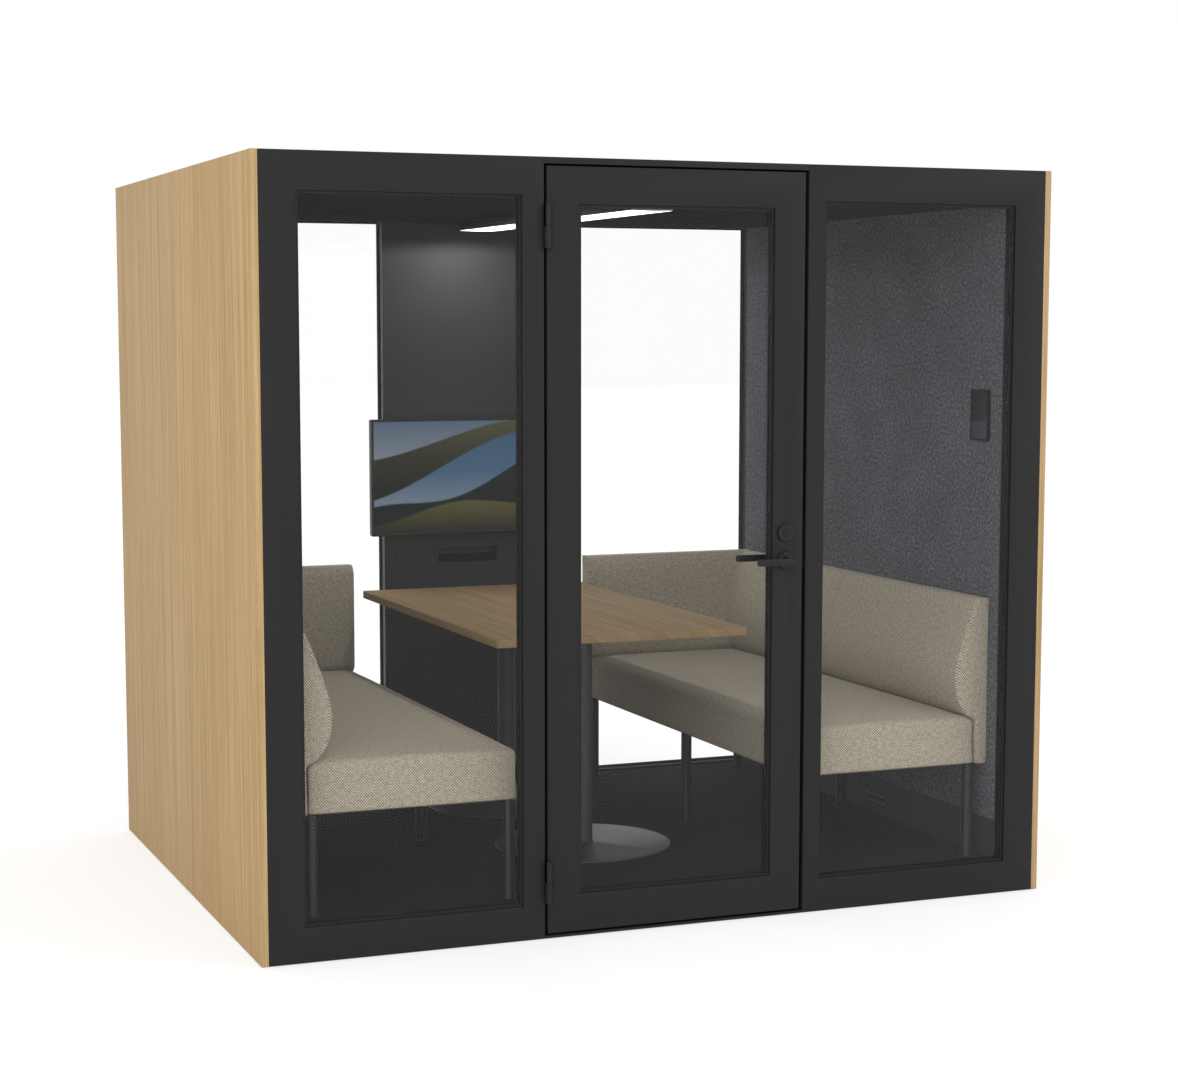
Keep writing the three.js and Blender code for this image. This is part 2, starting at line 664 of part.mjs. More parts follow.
function buildDoorLeaf(group) {
  const window = [
    doorLeft + DOOR_STILE, doorRight - DOOR_STILE, DOOR_LIFT + DOOR_BOTTOM_RAIL, doorTop - DOOR_TOP_RAIL,
  ];
  const outline = withHoles(rectangle(doorLeft, doorRight, DOOR_LIFT, doorTop), rectangle(...window));
  const pocket = block(
    doorRight - CASE_DEPTH - FIT, doorRight + 1,
    doorMiddle - CASE_THICKNESS / 2 - FIT, doorMiddle + CASE_THICKNESS / 2 + FIT,
    LEVER_LEVEL - CASE_MARGIN - FIT, LOCK_LEVEL + CASE_MARGIN + FIT,
  );
  const leaf = cut(extrudeBack(outline, frontY, doorBack), pocket, ...lockBores());
  addPiece(group, 'door_leaf', leaf, CHARCOAL_PAINT);
  glaze(group, 'door_glass', 'door_gasket', window, frontY + GLASS_RECESS);
}

/** The running bores of the lever neck and of the lock plug through the leaf and its lock case. */
function lockBores() {
  const bore = (diameter, level) => rod(
    diameter / 2 + FIT, [lockX, frontY - 1, level], [lockX, doorBack + 1, level], ROUND_SIDES,
  );
  return [bore(LEVER_NECK, LEVER_LEVEL), bore(PLUG_DIAMETER, LOCK_LEVEL)];
}

function buildDoorSeal(group) {
  const left = doorLeft + SEAL_INSET;
  const right = doorRight - SEAL_INSET;
  const bottom = DOOR_LIFT + SEAL_INSET;
  const top = doorTop - SEAL_INSET;
  const ring = withHoles(
    rectangle(left, right, bottom, top),
    rectangle(left + SEAL_WIDTH, right - SEAL_WIDTH, bottom + SEAL_WIDTH, top - SEAL_WIDTH),
  );
  addPiece(group, 'door_seal', extrudeBack(ring, doorBack + FIT, stopFront - FIT), BLACK_RUBBER);
}

/** A lift-off hinge: the lower knuckle with its pin stays on the frame, the upper one rides on the door. */
function buildHinge(frameGroup, doorGroup, word, level) {
  const bottom = level - HINGE_LENGTH / 2;
  const top = level + HINGE_LENGTH / 2;
  const splitLow = level - HINGE_SPLIT / 2;
  const splitHigh = level + HINGE_SPLIT / 2;
  const chamfer = HINGE_RADIUS / 4;
  const bore = HINGE_PIN_RADIUS + FIT;
  const plateBack = hingeY + HINGE_PLATE_DEPTH;
  const pinTop = level + HINGE_PIN_LENGTH;
  const lower = turned([
    [0, bottom], [HINGE_RADIUS - chamfer, bottom], [HINGE_RADIUS, bottom + chamfer], [HINGE_RADIUS, splitLow],
    [HINGE_PIN_RADIUS, splitLow], [HINGE_PIN_RADIUS, pinTop], [0, pinTop],
  ], ROUND_SIDES);
  const upper = turned([
    [0, pinTop + FIT], [bore, pinTop + FIT], [bore, splitHigh], [HINGE_RADIUS, splitHigh],
    [HINGE_RADIUS, top - chamfer], [HINGE_RADIUS - chamfer, top], [0, top],
  ], ROUND_SIDES);
  const framePlate = block(
    openingLeft + FIT, openingLeft + FIT + HINGE_PLATE, hingeY, plateBack, bottom + chamfer, splitLow,
  );
  const doorPlate = cut(
    block(doorLeft - FIT - HINGE_PLATE, doorLeft - FIT, hingeY, plateBack, splitHigh, top - chamfer),
    rod(bore, [hingeX, hingeY, level], [hingeX, hingeY, pinTop + FIT], ROUND_SIDES),
  );
  const frameKnuckle = lower.translate(hingeX, hingeY, 0);
  const doorKnuckle = upper.translate(hingeX, hingeY, 0);
  addPiece(frameGroup, `hinge_${word}_frame`, join(frameKnuckle, framePlate), BLACK_METAL);
  addPiece(doorGroup, `hinge_${word}_door`, join(doorKnuckle, doorPlate), BLACK_METAL);
}

/** A round cover plate on the outside of the door with a hole for what turns in it. */
function rose(level, hole) {
  const radius = ROSE_DIAMETER / 2;
  const chamfer = ROSE_THICKNESS / 4;
  const inner = hole / 2 + FIT;
  const ring = turned([
    [inner, FIT], [radius, FIT], [radius, ROSE_THICKNESS - chamfer], [radius - chamfer, ROSE_THICKNESS],
    [inner, ROSE_THICKNESS], [inner, FIT],
  ], FINE_SIDES);
  return ring.rotateX(Math.PI / 2).translate(lockX, frontY, level);
}

function buildLock(frameGroup, doorGroup) {
  const caseBlock = block(
    doorRight - CASE_DEPTH, doorRight, doorMiddle - CASE_THICKNESS / 2, doorMiddle + CASE_THICKNESS / 2,
    LEVER_LEVEL - CASE_MARGIN, LOCK_LEVEL + CASE_MARGIN,
  );
  const halfY = BOLT_THICKNESS / 2;
  const halfZ = BOLT_HEIGHT / 2;
  const latchTravel = LOCK_GAP - LATCH_NOSE_GAP;
  const channel = (level, x0) => block(
    x0 - 1, doorRight + 1, doorMiddle - halfY - FIT, doorMiddle + halfY + FIT,
    level - halfZ - FIT, level + halfZ + FIT,
  );
  const latchBack = doorRight - LATCH_LENGTH;
  const lockCase = cut(
    caseBlock,
    ...lockBores(),
    channel(LEVER_LEVEL, latchBack - latchTravel),
    channel(LOCK_LEVEL, doorRight - BOLT_LENGTH),
  );
  addPiece(doorGroup, 'lock_case', lockCase, STEEL);

  const nose = doorRight + latchTravel;
  const latchOutline = polygon([
    [latchBack, doorMiddle - halfY], [nose, doorMiddle - halfY],
    [nose - latchTravel, doorMiddle + halfY], [latchBack, doorMiddle + halfY],
  ]);
  addPiece(doorGroup, 'latch', extrudeUp(latchOutline, LEVER_LEVEL - halfZ, LEVER_LEVEL + halfZ), STEEL);
  const bolt = block(
    doorRight - BOLT_LENGTH, doorRight,
    doorMiddle - halfY, doorMiddle + halfY, LOCK_LEVEL - halfZ, LOCK_LEVEL + halfZ,
  );
  addPiece(doorGroup, 'deadbolt', bolt, STEEL);

  const holeY = halfY + STRIKE_HOLE_MARGIN;
  const holeZ = halfZ + STRIKE_HOLE_MARGIN;
  const hole = (level) => rectangle(doorMiddle - holeY, doorMiddle + holeY, level - holeZ, level + holeZ);
  const strike = withHoles(
    rectangle(
      doorMiddle - STRIKE_WIDTH / 2, doorMiddle + STRIKE_WIDTH / 2,
      LEVER_LEVEL - STRIKE_MARGIN, LOCK_LEVEL + STRIKE_MARGIN,
    ),
    hole(LEVER_LEVEL),
    hole(LOCK_LEVEL),
  );
  const strikePlate = extrudeAcross(strike, openingRight, openingRight + STRIKE_THICKNESS);
  addPiece(frameGroup, 'strike_plate', strikePlate, STEEL);
}

function buildHandle(group) {
  addPiece(group, 'lever_rose', rose(LEVER_LEVEL, LEVER_NECK), BLACK_METAL);
  addPiece(group, 'lock_rose', rose(LOCK_LEVEL, PLUG_DIAMETER), BLACK_METAL);

  const half = ROSE_DIAMETER / 2;
  const turnHole = (diameter, level) => {
    const hole = new THREE.Path();
    hole.absarc(lockX, level, diameter / 2 + FIT, 0, 2 * Math.PI);
    return hole;
  };
  const plateOutline = withHoles(
    rectangle(lockX - half, lockX + half, LEVER_LEVEL - half, LOCK_LEVEL + half, half),
    turnHole(LEVER_NECK, LEVER_LEVEL),
    turnHole(PLUG_DIAMETER, LOCK_LEVEL),
  );
  const innerPlate = extrudeBack(plateOutline, doorBack + FIT, doorBack + ROSE_THICKNESS);
  addPiece(group, 'inner_lock_plate', innerPlate, BLACK_METAL);

  const outside = frontY - LEVER_PROJECTION;
  const inside = doorBack + LEVER_PROJECTION;
  const arm = rectangle(
    lockX - LEVER_LENGTH, lockX + LEVER_HEIGHT / 2,
    LEVER_LEVEL - LEVER_HEIGHT / 2, LEVER_LEVEL + LEVER_HEIGHT / 2, LEVER_HEIGHT / 4,
  );
  const neckInset = LEVER_THICKNESS / 2;
  const neckFront = [lockX, outside + neckInset, LEVER_LEVEL];
  const neckBack = [lockX, inside - neckInset, LEVER_LEVEL];
  const neck = rod(LEVER_NECK / 2, neckFront, neckBack, ROUND_SIDES);
  const lever = join(
    neck,
    extrudeBack(arm, outside, outside + LEVER_THICKNESS),
    extrudeBack(arm, inside - LEVER_THICKNESS, inside),
  );
  addPiece(group, 'lever', lever, BLACK_METAL);

  const plugFront = frontY - ROSE_THICKNESS - PLUG_PROUD;
  const plugBack = doorBack + ROSE_THICKNESS + PLUG_PROUD;
  const onLock = (y) => [lockX, y, LOCK_LEVEL];
  const plug = rod(PLUG_DIAMETER / 2, onLock(plugFront), onLock(plugBack), ROUND_SIDES);
  const slot = block(
    lockX - PLUG_SLOT_WIDTH / 2, lockX + PLUG_SLOT_WIDTH / 2, plugFront - 1, plugFront + PLUG_SLOT_DEPTH,
    LOCK_LEVEL - PLUG_SLOT_LENGTH / 2, LOCK_LEVEL + PLUG_SLOT_LENGTH / 2,
  );
  const thumb = rectangle(
    lockX - THUMB_WIDTH / 2, lockX + THUMB_WIDTH / 2,
    LOCK_LEVEL - THUMB_LENGTH / 2, LOCK_LEVEL + THUMB_LENGTH / 2, THUMB_WIDTH / 2,
  );
  const turn = join(plug, extrudeBack(thumb, plugBack - PLUG_PROUD / 2, plugBack + THUMB_HEIGHT));
  addPiece(group, 'lock_turn', cut(turn, slot), BLACK_METAL);
}

function buildDoor() {
  const frameGroup = subAssembly('door_frame_fittings');
  const doorGroup = subAssembly('door');
  buildDoorLeaf(doorGroup);
  buildDoorSeal(frameGroup);
  buildHinge(frameGroup, doorGroup, 'upper', doorTop - UPPER_HINGE_DROP);
  buildHinge(frameGroup, doorGroup, 'lower', DOOR_LIFT + LOWER_HINGE_RISE);
  buildLock(frameGroup, doorGroup);
  buildHandle(doorGroup);
}

/** A ring round a seat at one height, with one inset for its open sides and one for its wall sides. */
function seatRing([x0, x1, y0, y1], open, wall, z) {
  const radius = Math.max(SEAT_CORNER_RADIUS - open, SEAT_CORNER_RADIUS / 8);
  const outline = rectangle(x0 + open, x1 - wall, y0 + open, y1 - wall, radius);
  const points = outline.getPoints(CURVE_STEPS / 2).slice(1);
  return points.map((point) => new THREE.Vector3(point.x, point.y, z));
}

/** An upholstered seat: drawn-in sides, a rolled edge that is softer towards the walls, and a crowned top. */
function seatCushion(plan, bottom, edge, crown) {
  const steps = CURVE_STEPS / 2;
  const sideTop = edge - SEAT_ROLL_HEIGHT;
  const rings = [];
  for (let i = 0; i <= steps; i += 1) {
    const inset = SEAT_DRAW_IN * (1 - Math.sin((Math.PI * i) / steps));
    rings.push(seatRing(plan, inset, inset, bottom + ((sideTop - bottom) * i) / steps));
  }
  for (let i = 1; i <= CURVE_STEPS; i += 1) {
    const angle = (i / CURVE_STEPS) * (Math.PI / 2);
    const roll = 1 - Math.cos(angle);
    const open = SEAT_DRAW_IN + SEAT_ROLL_OPEN * roll;
    const wall = SEAT_DRAW_IN + SEAT_ROLL_WALL * roll;
    rings.push(seatRing(plan, open, wall, sideTop + SEAT_ROLL_HEIGHT * Math.sin(angle)));
  }
  const openStart = SEAT_DRAW_IN + SEAT_ROLL_OPEN;
  const wallStart = SEAT_DRAW_IN + SEAT_ROLL_WALL;
  const flatEdge = (plan[1] - plan[0] - SEAT_FLAT) / 2;
  for (let i = 1; i <= steps; i += 1) {
    const t = i / steps;
    const open = THREE.MathUtils.lerp(openStart, flatEdge, t);
    const wall = THREE.MathUtils.lerp(wallStart, flatEdge, t);
    rings.push(seatRing(plan, open, wall, edge + crown * (1 - (1 - t) ** 2)));
  }
  return loft(rings, (point) => new THREE.Vector2(point.x, point.y));
}

/** The side view of a back pad as distance from the wall and height, fullest at the small of the back. */
function padProfile() {
  const bottom = seatBottom;
  const tuck = floorZ + PAD_TUCK;
  const bulge = floorZ + PAD_BULGE_HEIGHT;
  const top = floorZ + PAD_TOP;
  const swell = PAD_BULGE - PAD_PANEL;
  const outline = new THREE.Shape();
  outline.moveTo(0, bottom).lineTo(PAD_PANEL, bottom).lineTo(PAD_PANEL, tuck);
  outline.bezierCurveTo(
    PAD_PANEL + swell * 0.55, tuck + (bulge - tuck) * 0.07,
    PAD_BULGE - swell * 0.05, bulge - (bulge - tuck) * 0.64,
    PAD_BULGE, bulge,
  );
  outline.bezierCurveTo(
    PAD_BULGE, bulge + (top - bulge) * 0.22,
    PAD_TOP_THICKNESS + (PAD_BULGE - PAD_TOP_THICKNESS) * 0.36, top - (top - bulge) * 0.3,
    PAD_TOP_THICKNESS, top - PAD_TOP_ROUND,
  );
  outline.quadraticCurveTo(PAD_TOP_THICKNESS, top, PAD_TOP_THICKNESS - PAD_TOP_ROUND, top);
  outline.lineTo(0, top);
  return outline.getPoints(CURVE_STEPS);
}

/** The side view of the flat pad along the glazed back, sloped off at its shoulder. */
function wingProfile() {
  const bottom = seatBottom;
  const tuck = floorZ + PAD_TUCK;
  const top = floorZ + PAD_TOP;
  const swell = WING_THICKNESS - PAD_PANEL;
  const slope = WING_THICKNESS - WING_TOP_THICKNESS;
  const edge = PAD_TOP_ROUND / 4;
  const outline = new THREE.Shape();
  outline.moveTo(0, bottom).lineTo(PAD_PANEL, bottom).lineTo(PAD_PANEL, tuck);
  outline.bezierCurveTo(
    PAD_PANEL + swell * 0.5, tuck + WING_FOOT_CURVE * 0.08,
    WING_THICKNESS, tuck + WING_FOOT_CURVE * 0.4,
    WING_THICKNESS, tuck + WING_FOOT_CURVE,
  );
  outline.lineTo(WING_THICKNESS, top - WING_SHOULDER);
  outline.bezierCurveTo(
    WING_THICKNESS, top - WING_SHOULDER * 0.66,
    WING_TOP_THICKNESS + slope * 0.45, top - WING_SHOULDER * 0.28,
    WING_TOP_THICKNESS, top - edge,
  );
  outline.quadraticCurveTo(WING_TOP_THICKNESS - edge, top, WING_TOP_THICKNESS - PAD_TOP_ROUND, top);
  outline.lineTo(0, top);
  return outline.getPoints(CURVE_STEPS);
}

/** A back pad between two stations, thinner and lower towards each end that is free. */
function backPad(profile, from, to, fromFree, toFree, place) {
  const tuck = floorZ + PAD_TUCK;
  const rise = PAD_TOP - PAD_TUCK;
  const steps = [0, 0.06, 0.2, 0.5, 1].map((share) => share * PAD_END_REACH);
  const nearFrom = fromFree ? steps.map((step) => from + step) : [from];
  const nearTo = toFree ? steps.map((step) => to - step).reverse() : [to];
  const fade = (distance) => Math.max(0, 1 - distance / PAD_END_REACH) ** 3;
  const rings = [...nearFrom, ...nearTo].map((station) => {
    const end = Math.max(fromFree ? fade(station - from) : 0, toFree ? fade(to - station) : 0);
    return profile.map(({ x, y }) => {
      const drop = PAD_END_DROP * end * Math.max(0, (y - tuck) / rise);
      return place(x * (1 - PAD_END_DRAW * end), station, y - drop);
    });
  });
  return loft(rings, (point) => place.flatten(point));
}

function besideWall(distance, station, height) {
  return new THREE.Vector3(padBack - distance, station, height);
}
besideWall.flatten = (point) => new THREE.Vector2(point.x, point.z);

function alongBack(distance, station, height) {
  return new THREE.Vector3(station, wingBack - distance, height);
}
alongBack.flatten = (point) => new THREE.Vector2(point.y, point.z);

const legXs = [seatInner + LEG_INSET, seatOuter - LEG_WALL_INSET];
const legFront = sofaFront + LEG_INSET;
const legRear = seatRear - LEG_INSET;
const legYs = [legFront, (legFront + legRear) / 2, legRear];

/** The flat bars that join the legs, grown all round by a clearance. */
function benchRails(grow) {
  const half = RAIL_WIDTH / 2 + grow;
  const z0 = seatBottom - RAIL_PROUD - grow;
  const z1 = seatBottom - RAIL_PROUD + RAIL_HEIGHT + grow;
  const [yFront, , yRear] = legYs;
  const long = legXs.map((x) => block(x - half, x + half, yFront - half, yRear + half, z0, z1));
  const cross = legYs.map((y) => block(legXs[0] - half, legXs[1] + half, y - half, y + half, z0, z1));
  return join(...long, ...cross);
}

function benchFrame() {
  const top = seatBottom - FIT;
  const bottom = floorZ + FIT;
  const legProfile = [
    [0, bottom], [LEG_GLIDE / 2, bottom], [LEG_GLIDE / 2, bottom + LEG_GLIDE_HEIGHT],
    [LEG_DIAMETER / 2, bottom + LEG_GLIDE_HEIGHT], [LEG_DIAMETER / 2, top], [0, top],
  ];
  const legs = legXs.flatMap((x) => legYs.map((y) => turned(legProfile, LEG_SIDES).translate(x, y, 0)));
  return join(benchRails(0), ...legs);
}

function buildSofas() {
  const group = subAssembly('sofas');
  const plan = [seatInner, seatOuter, sofaFront, seatRear];
  const seat = cut(seatCushion(plan, seatBottom, floorZ + SEAT_EDGE, SEAT_CROWN), benchRails(FIT));
  const split = PAD_SPLIT_GAP / 2;
  const frontPad = backPad(padProfile(), sofaFront, padSplit - split, true, true, besideWall);
  const rearPad = backPad(padProfile(), padSplit + split, wingFront - WING_GAP, true, false, besideWall);
  const wing = backPad(wingProfile(), seatInner, padBack, true, false, alongBack);
  const bench = benchFrame();
  for (const [side, word] of SIDES) {
    addPiece(group, `seat_${word}`, onSide(side, seat), TWEED);
    addPiece(group, `back_front_${word}`, onSide(side, frontPad), TWEED);
    addPiece(group, `back_rear_${word}`, onSide(side, rearPad), TWEED);
    addPiece(group, `wing_${word}`, onSide(side, wing), TWEED);
    addPiece(group, `bench_${word}`, onSide(side, bench), BLACK_METAL);
  }
}

function buildTable() {
  const group = subAssembly('table');
  const top = floorZ + TABLE_HEIGHT;
  const underside = top - TABLE_TOP;
  const outline = rectangle(
    -TABLE_WIDTH / 2, TABLE_WIDTH / 2,
    tableMiddle - TABLE_LENGTH / 2, tableMiddle + TABLE_LENGTH / 2, TABLE_CORNER,
  );
  addPiece(group, 'table_top', extrudeUp(outline, underside, top), TABLE_OAK);

  const bottom = floorZ + FIT;
  const footTop = bottom + FOOT_THICKNESS;
  const foot = FOOT_DIAMETER / 2;
  const column = COLUMN_DIAMETER / 2;
  const spiderTop = underside - FIT;
  const spiderBottom = spiderTop - SPIDER_THICKNESS;
  const post = turned([
    [0, bottom], [foot, bottom], [foot, footTop - FOOT_CHAMFER], [foot - FOOT_CHAMFER, footTop],
    [column + COLUMN_FLARE, footTop], [column, footTop + COLUMN_FLARE], [column, spiderTop], [0, spiderTop],
  ], FINE_SIDES);
  const arm = block(
    -SPIDER_LENGTH / 2, SPIDER_LENGTH / 2, -SPIDER_WIDTH / 2, SPIDER_WIDTH / 2, spiderBottom, spiderTop,
  );
  const pedestal = join(post, arm, arm.clone().rotateZ(Math.PI / 2));
  for (const [end, word] of [[-1, 'front'], [1, 'rear']]) {
    const y = tableMiddle + (end * COLUMN_SPREAD) / 2;
    addPiece(group, `pedestal_${word}`, pedestal.clone().translate(0, y, 0), CHARCOAL_PAINT);
  }
}

function buildMedia() {
  const group = subAssembly('media');
  const half = DISPLAY_WIDTH / 2;
  const bottom = DISPLAY_LEVEL - DISPLAY_HEIGHT / 2;
  const top = DISPLAY_LEVEL + DISPLAY_HEIGHT / 2;
  const front = insideBack - DISPLAY_STAND_OFF;
  const back = front + DISPLAY_THICKNESS;
  const body = extrudeBack(rectangle(-half, half, bottom, top, DISPLAY_CORNER), front, back);
  const bracket = block(
    -BRACKET_WIDTH / 2, BRACKET_WIDTH / 2, back - 1, insideBack - FIT,
    DISPLAY_LEVEL - BRACKET_HEIGHT / 2, DISPLAY_LEVEL + BRACKET_HEIGHT / 2,
  );
  const recess = (inset, depth) => block(
    -half + DISPLAY_BEZEL + inset, half - DISPLAY_BEZEL - inset, front - (inset ? 0 : 1), front + depth,
    bottom + DISPLAY_BEZEL + inset, top - DISPLAY_BEZEL - inset,
  );
  addPiece(group, 'display_case', cut(join(body, bracket), recess(0, DISPLAY_SCREEN + FIT)), BLACK_PLASTIC);
  addPiece(group, 'display_screen', recess(FIT, DISPLAY_SCREEN), SCREEN);

  const portHalf = PORT_WIDTH / 2;
  const portBottom = PORT_LEVEL - PORT_HEIGHT / 2;
  const portTop = PORT_LEVEL + PORT_HEIGHT / 2;
  const tray = block(-portHalf, portHalf, insideBack, insideBack + PORT_DEPTH, portBottom, portTop);
  const hollow = polygon([
    [insideBack - 1, portBottom + PORT_WALL], [insideBack + PORT_DEPTH - PORT_WALL, PORT_LEVEL],
    [insideBack + PORT_DEPTH - PORT_WALL, portTop - PORT_WALL], [insideBack - 1, portTop - PORT_WALL],
  ]);
  const port = cut(tray, extrudeAcross(hollow, -portHalf + PORT_WALL, portHalf - PORT_WALL));
  addPiece(group, 'media_port', port, BLACK_PLASTIC);

  const y0 = insideFront + CONTROL_SETBACK - CONTROL_WIDTH;
  const y1 = insideFront + CONTROL_SETBACK;
  const z0 = CONTROL_LEVEL - CONTROL_HEIGHT / 2;
  const z1 = CONTROL_LEVEL + CONTROL_HEIGHT / 2;
  const face = feltFace - FIT - CONTROL_THICKNESS;
  const plate = extrudeAcross(rectangle(y0, y1, z0, z1, CONTROL_CORNER), face, feltFace - FIT);
  const inset = rectangle(
    y0 + CONTROL_RIM, y1 - CONTROL_RIM, z0 + CONTROL_RIM, z1 - CONTROL_RIM, CONTROL_CORNER - CONTROL_RIM,
  );
  const glassBed = extrudeAcross(inset, face - 1, face + CONTROL_RECESS);
  addPiece(group, 'control_panel', cut(plate, glassBed), BLACK_PLASTIC);
}

buildShell();
buildFans();
buildLight();
buildFront();
buildBack();
buildDoor();
buildSofas();
buildTable();
buildMedia();

export default pod;
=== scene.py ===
"""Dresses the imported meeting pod: finishes, edges, upholstery, fixings, floor, light and camera."""

from __future__ import annotations

import logging
import math
from dataclasses import dataclass, field
from enum import Enum
from typing import Callable, Sequence

import bmesh
import bpy
import numpy as np
from mathutils import Matrix, Vector


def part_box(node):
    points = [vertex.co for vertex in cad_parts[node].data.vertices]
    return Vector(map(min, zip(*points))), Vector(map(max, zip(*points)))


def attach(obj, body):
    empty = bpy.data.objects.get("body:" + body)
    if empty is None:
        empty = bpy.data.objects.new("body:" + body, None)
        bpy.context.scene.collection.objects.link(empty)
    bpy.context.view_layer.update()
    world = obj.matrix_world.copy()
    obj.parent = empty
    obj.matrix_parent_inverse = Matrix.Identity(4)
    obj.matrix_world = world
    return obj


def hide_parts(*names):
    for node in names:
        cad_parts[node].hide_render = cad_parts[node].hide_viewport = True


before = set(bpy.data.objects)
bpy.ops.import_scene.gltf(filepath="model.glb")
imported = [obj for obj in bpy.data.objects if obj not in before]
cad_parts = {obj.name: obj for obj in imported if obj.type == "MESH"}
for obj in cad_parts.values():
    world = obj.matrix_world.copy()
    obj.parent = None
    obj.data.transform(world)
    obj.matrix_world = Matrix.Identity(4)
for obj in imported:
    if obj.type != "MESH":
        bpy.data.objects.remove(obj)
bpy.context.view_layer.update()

LOG = logging.getLogger("pod")
PHOTO_WIDTH = 1178
WELD = 2e-5
FLAT_ANGLE = 0.5
SHARP_ANGLE = 38.0
SMOOTH_ANGLE = 30.0
COPY_SMOOTH_ANGLE = 35.0

Colour = tuple[float, float, float, float]
Point = tuple[float, float, float]
Flat = tuple[float, float]
Key = tuple[int, int, int]


class Body(Enum):
    """The bodies that dressed pieces ride on."""

    POD = "pod"
    DOOR = "door"
    LEVER = "lever"
    LOCK_TURN = "lock_turn"


class Slot(Enum):
    """The record's material slots that dressed pieces use."""

    OAK = "oak"
    TABLE_OAK = "table_oak"
    CHARCOAL_PAINT = "charcoal_paint"
    BLACK_METAL = "black_metal"
    BLACK_RUBBER = "black_rubber"
    TWEED = "tweed"
    BLACK_PLASTIC = "black_plastic"
    STEEL = "steel"


class Grain(Enum):
    """The way the wood grain runs."""

    UPRIGHT = "upright"
    LENGTHWISE = "lengthwise"


class PadForm(Enum):
    """The two side views of a back pad."""

    BULGED = "bulged"
    FLAT = "flat"


class Side(Enum):
    """The two halves of the pod, by the sign of x."""

    LEFT = -1
    RIGHT = 1

    @property
    def word(self) -> str:
        """The ending of this side's node names."""
        return self.name.lower()


def tint(code: str) -> Colour:
    """Turns a display colour into the linear colour that a shader takes.

    Args:
        code: six hexadecimal digits.

    Returns:
        The linear red, green and blue, and an alpha of 1.
    """
    parts = [int(code[i : i + 2], 16) / 255 for i in (0, 2, 4)]
    linear = [p / 12.92 if p <= 0.04045 else ((p + 0.055) / 1.055) ** 2.4 for p in parts]
    return (linear[0], linear[1], linear[2], 1.0)


class Field:
    """A node's output socket that takes part in Python arithmetic."""

    def __init__(self, graph: "Graph", socket: bpy.types.NodeSocket) -> None:
        """Keeps the socket and the graph that it belongs to."""
        self.graph = graph
        self.socket = socket

    def _math(self, operation: str, *values: object) -> "Field":
        """Adds a Math node of that operation on these values."""
        return self.graph.node("ShaderNodeMath", {"operation": operation}, dict(enumerate(values)))

    def __add__(self, other: object) -> "Field":
        """self + other."""
        return self._math("ADD", self, other)

    __radd__ = __add__

    def __sub__(self, other: object) -> "Field":
        """self - other."""
        return self._math("SUBTRACT", self, other)

    def __rsub__(self, other: object) -> "Field":
        """other - self."""
        return self._math("SUBTRACT", other, self)

    def __mul__(self, other: object) -> "Field":
        """self * other."""
        return self._math("MULTIPLY", self, other)

    __rmul__ = __mul__

    def __truediv__(self, other: object) -> "Field":
        """self / other."""
        return self._math("DIVIDE", self, other)

    def __mod__(self, other: object) -> "Field":
        """self modulo other, never below nought."""
        return self._math("FLOORED_MODULO", self, other)

    def floor(self) -> "Field":
        """The whole number below."""
        return self._math("FLOOR", self)

    def size(self) -> "Field":
        """The value without its sign."""
        return self._math("ABSOLUTE", self)

    def sine(self) -> "Field":
        """The sine of the value, in radians."""
        return self._math("SINE", self)

    def between(self, low: float, high: float) -> "Field":
        """A smooth step from 0 at low to 1 at high."""
        return self.graph.node(
            "ShaderNodeMapRange",
            {"interpolation_type": "SMOOTHSTEP"},
            {"Value": self, "From Min": low, "From Max": high},
        )


class Graph:
    """A node tree that is filled in from Python."""

    def __init__(self, tree: bpy.types.NodeTree) -> None:
        """Takes the tree to fill."""
        self.tree = tree

    def feed(self, socket: bpy.types.NodeSocket, value: object) -> None:
        """Links a field to a socket, or sets the socket's own value.

        Args:
            socket: the input socket.
            value: a field, a number, a colour or another value.
        """
        if isinstance(value, Field):
            self.tree.links.new(value.socket, socket)
        else:
            socket.default_value = value

    def node(
        self,
        kind: str,
        settings: dict[str, object] | None = None,
        sockets: dict[str | int, object] | None = None,
        output: str | int = 0,
    ) -> Field:
        """Adds a node.

        Args:
            kind: the node's type.
            settings: its settings, or a ramp's stops, which are set first.
            sockets: the values or fields of its inputs, by name or number.
            output: the output to hand back.

        Returns:
            The chosen output as a field.
        """
        made = self.tree.nodes.new(kind)
        for key, value in (settings or {}).items():
            if key == "stops":
                self._set_stops(made.color_ramp, value)
            else:
                setattr(made, key, value)
        for key, value in (sockets or {}).items():
            self.feed(made.inputs[key], value)
        return Field(self, made.outputs[output])

    def other(self, made: Field, output: str | int) -> Field:
        """Another output of the node that a field comes from."""
        return Field(self, made.socket.node.outputs[output])

    @staticmethod
    def _set_stops(ramp: bpy.types.ColorRamp, stops: Sequence[tuple[float, Colour]]) -> None:
        """Gives a colour ramp these stops."""
        while len(ramp.elements) < len(stops):
            ramp.elements.new(1.0)
        for element, (place, colour) in zip(ramp.elements, stops):
            element.position = place
            element.color = colour


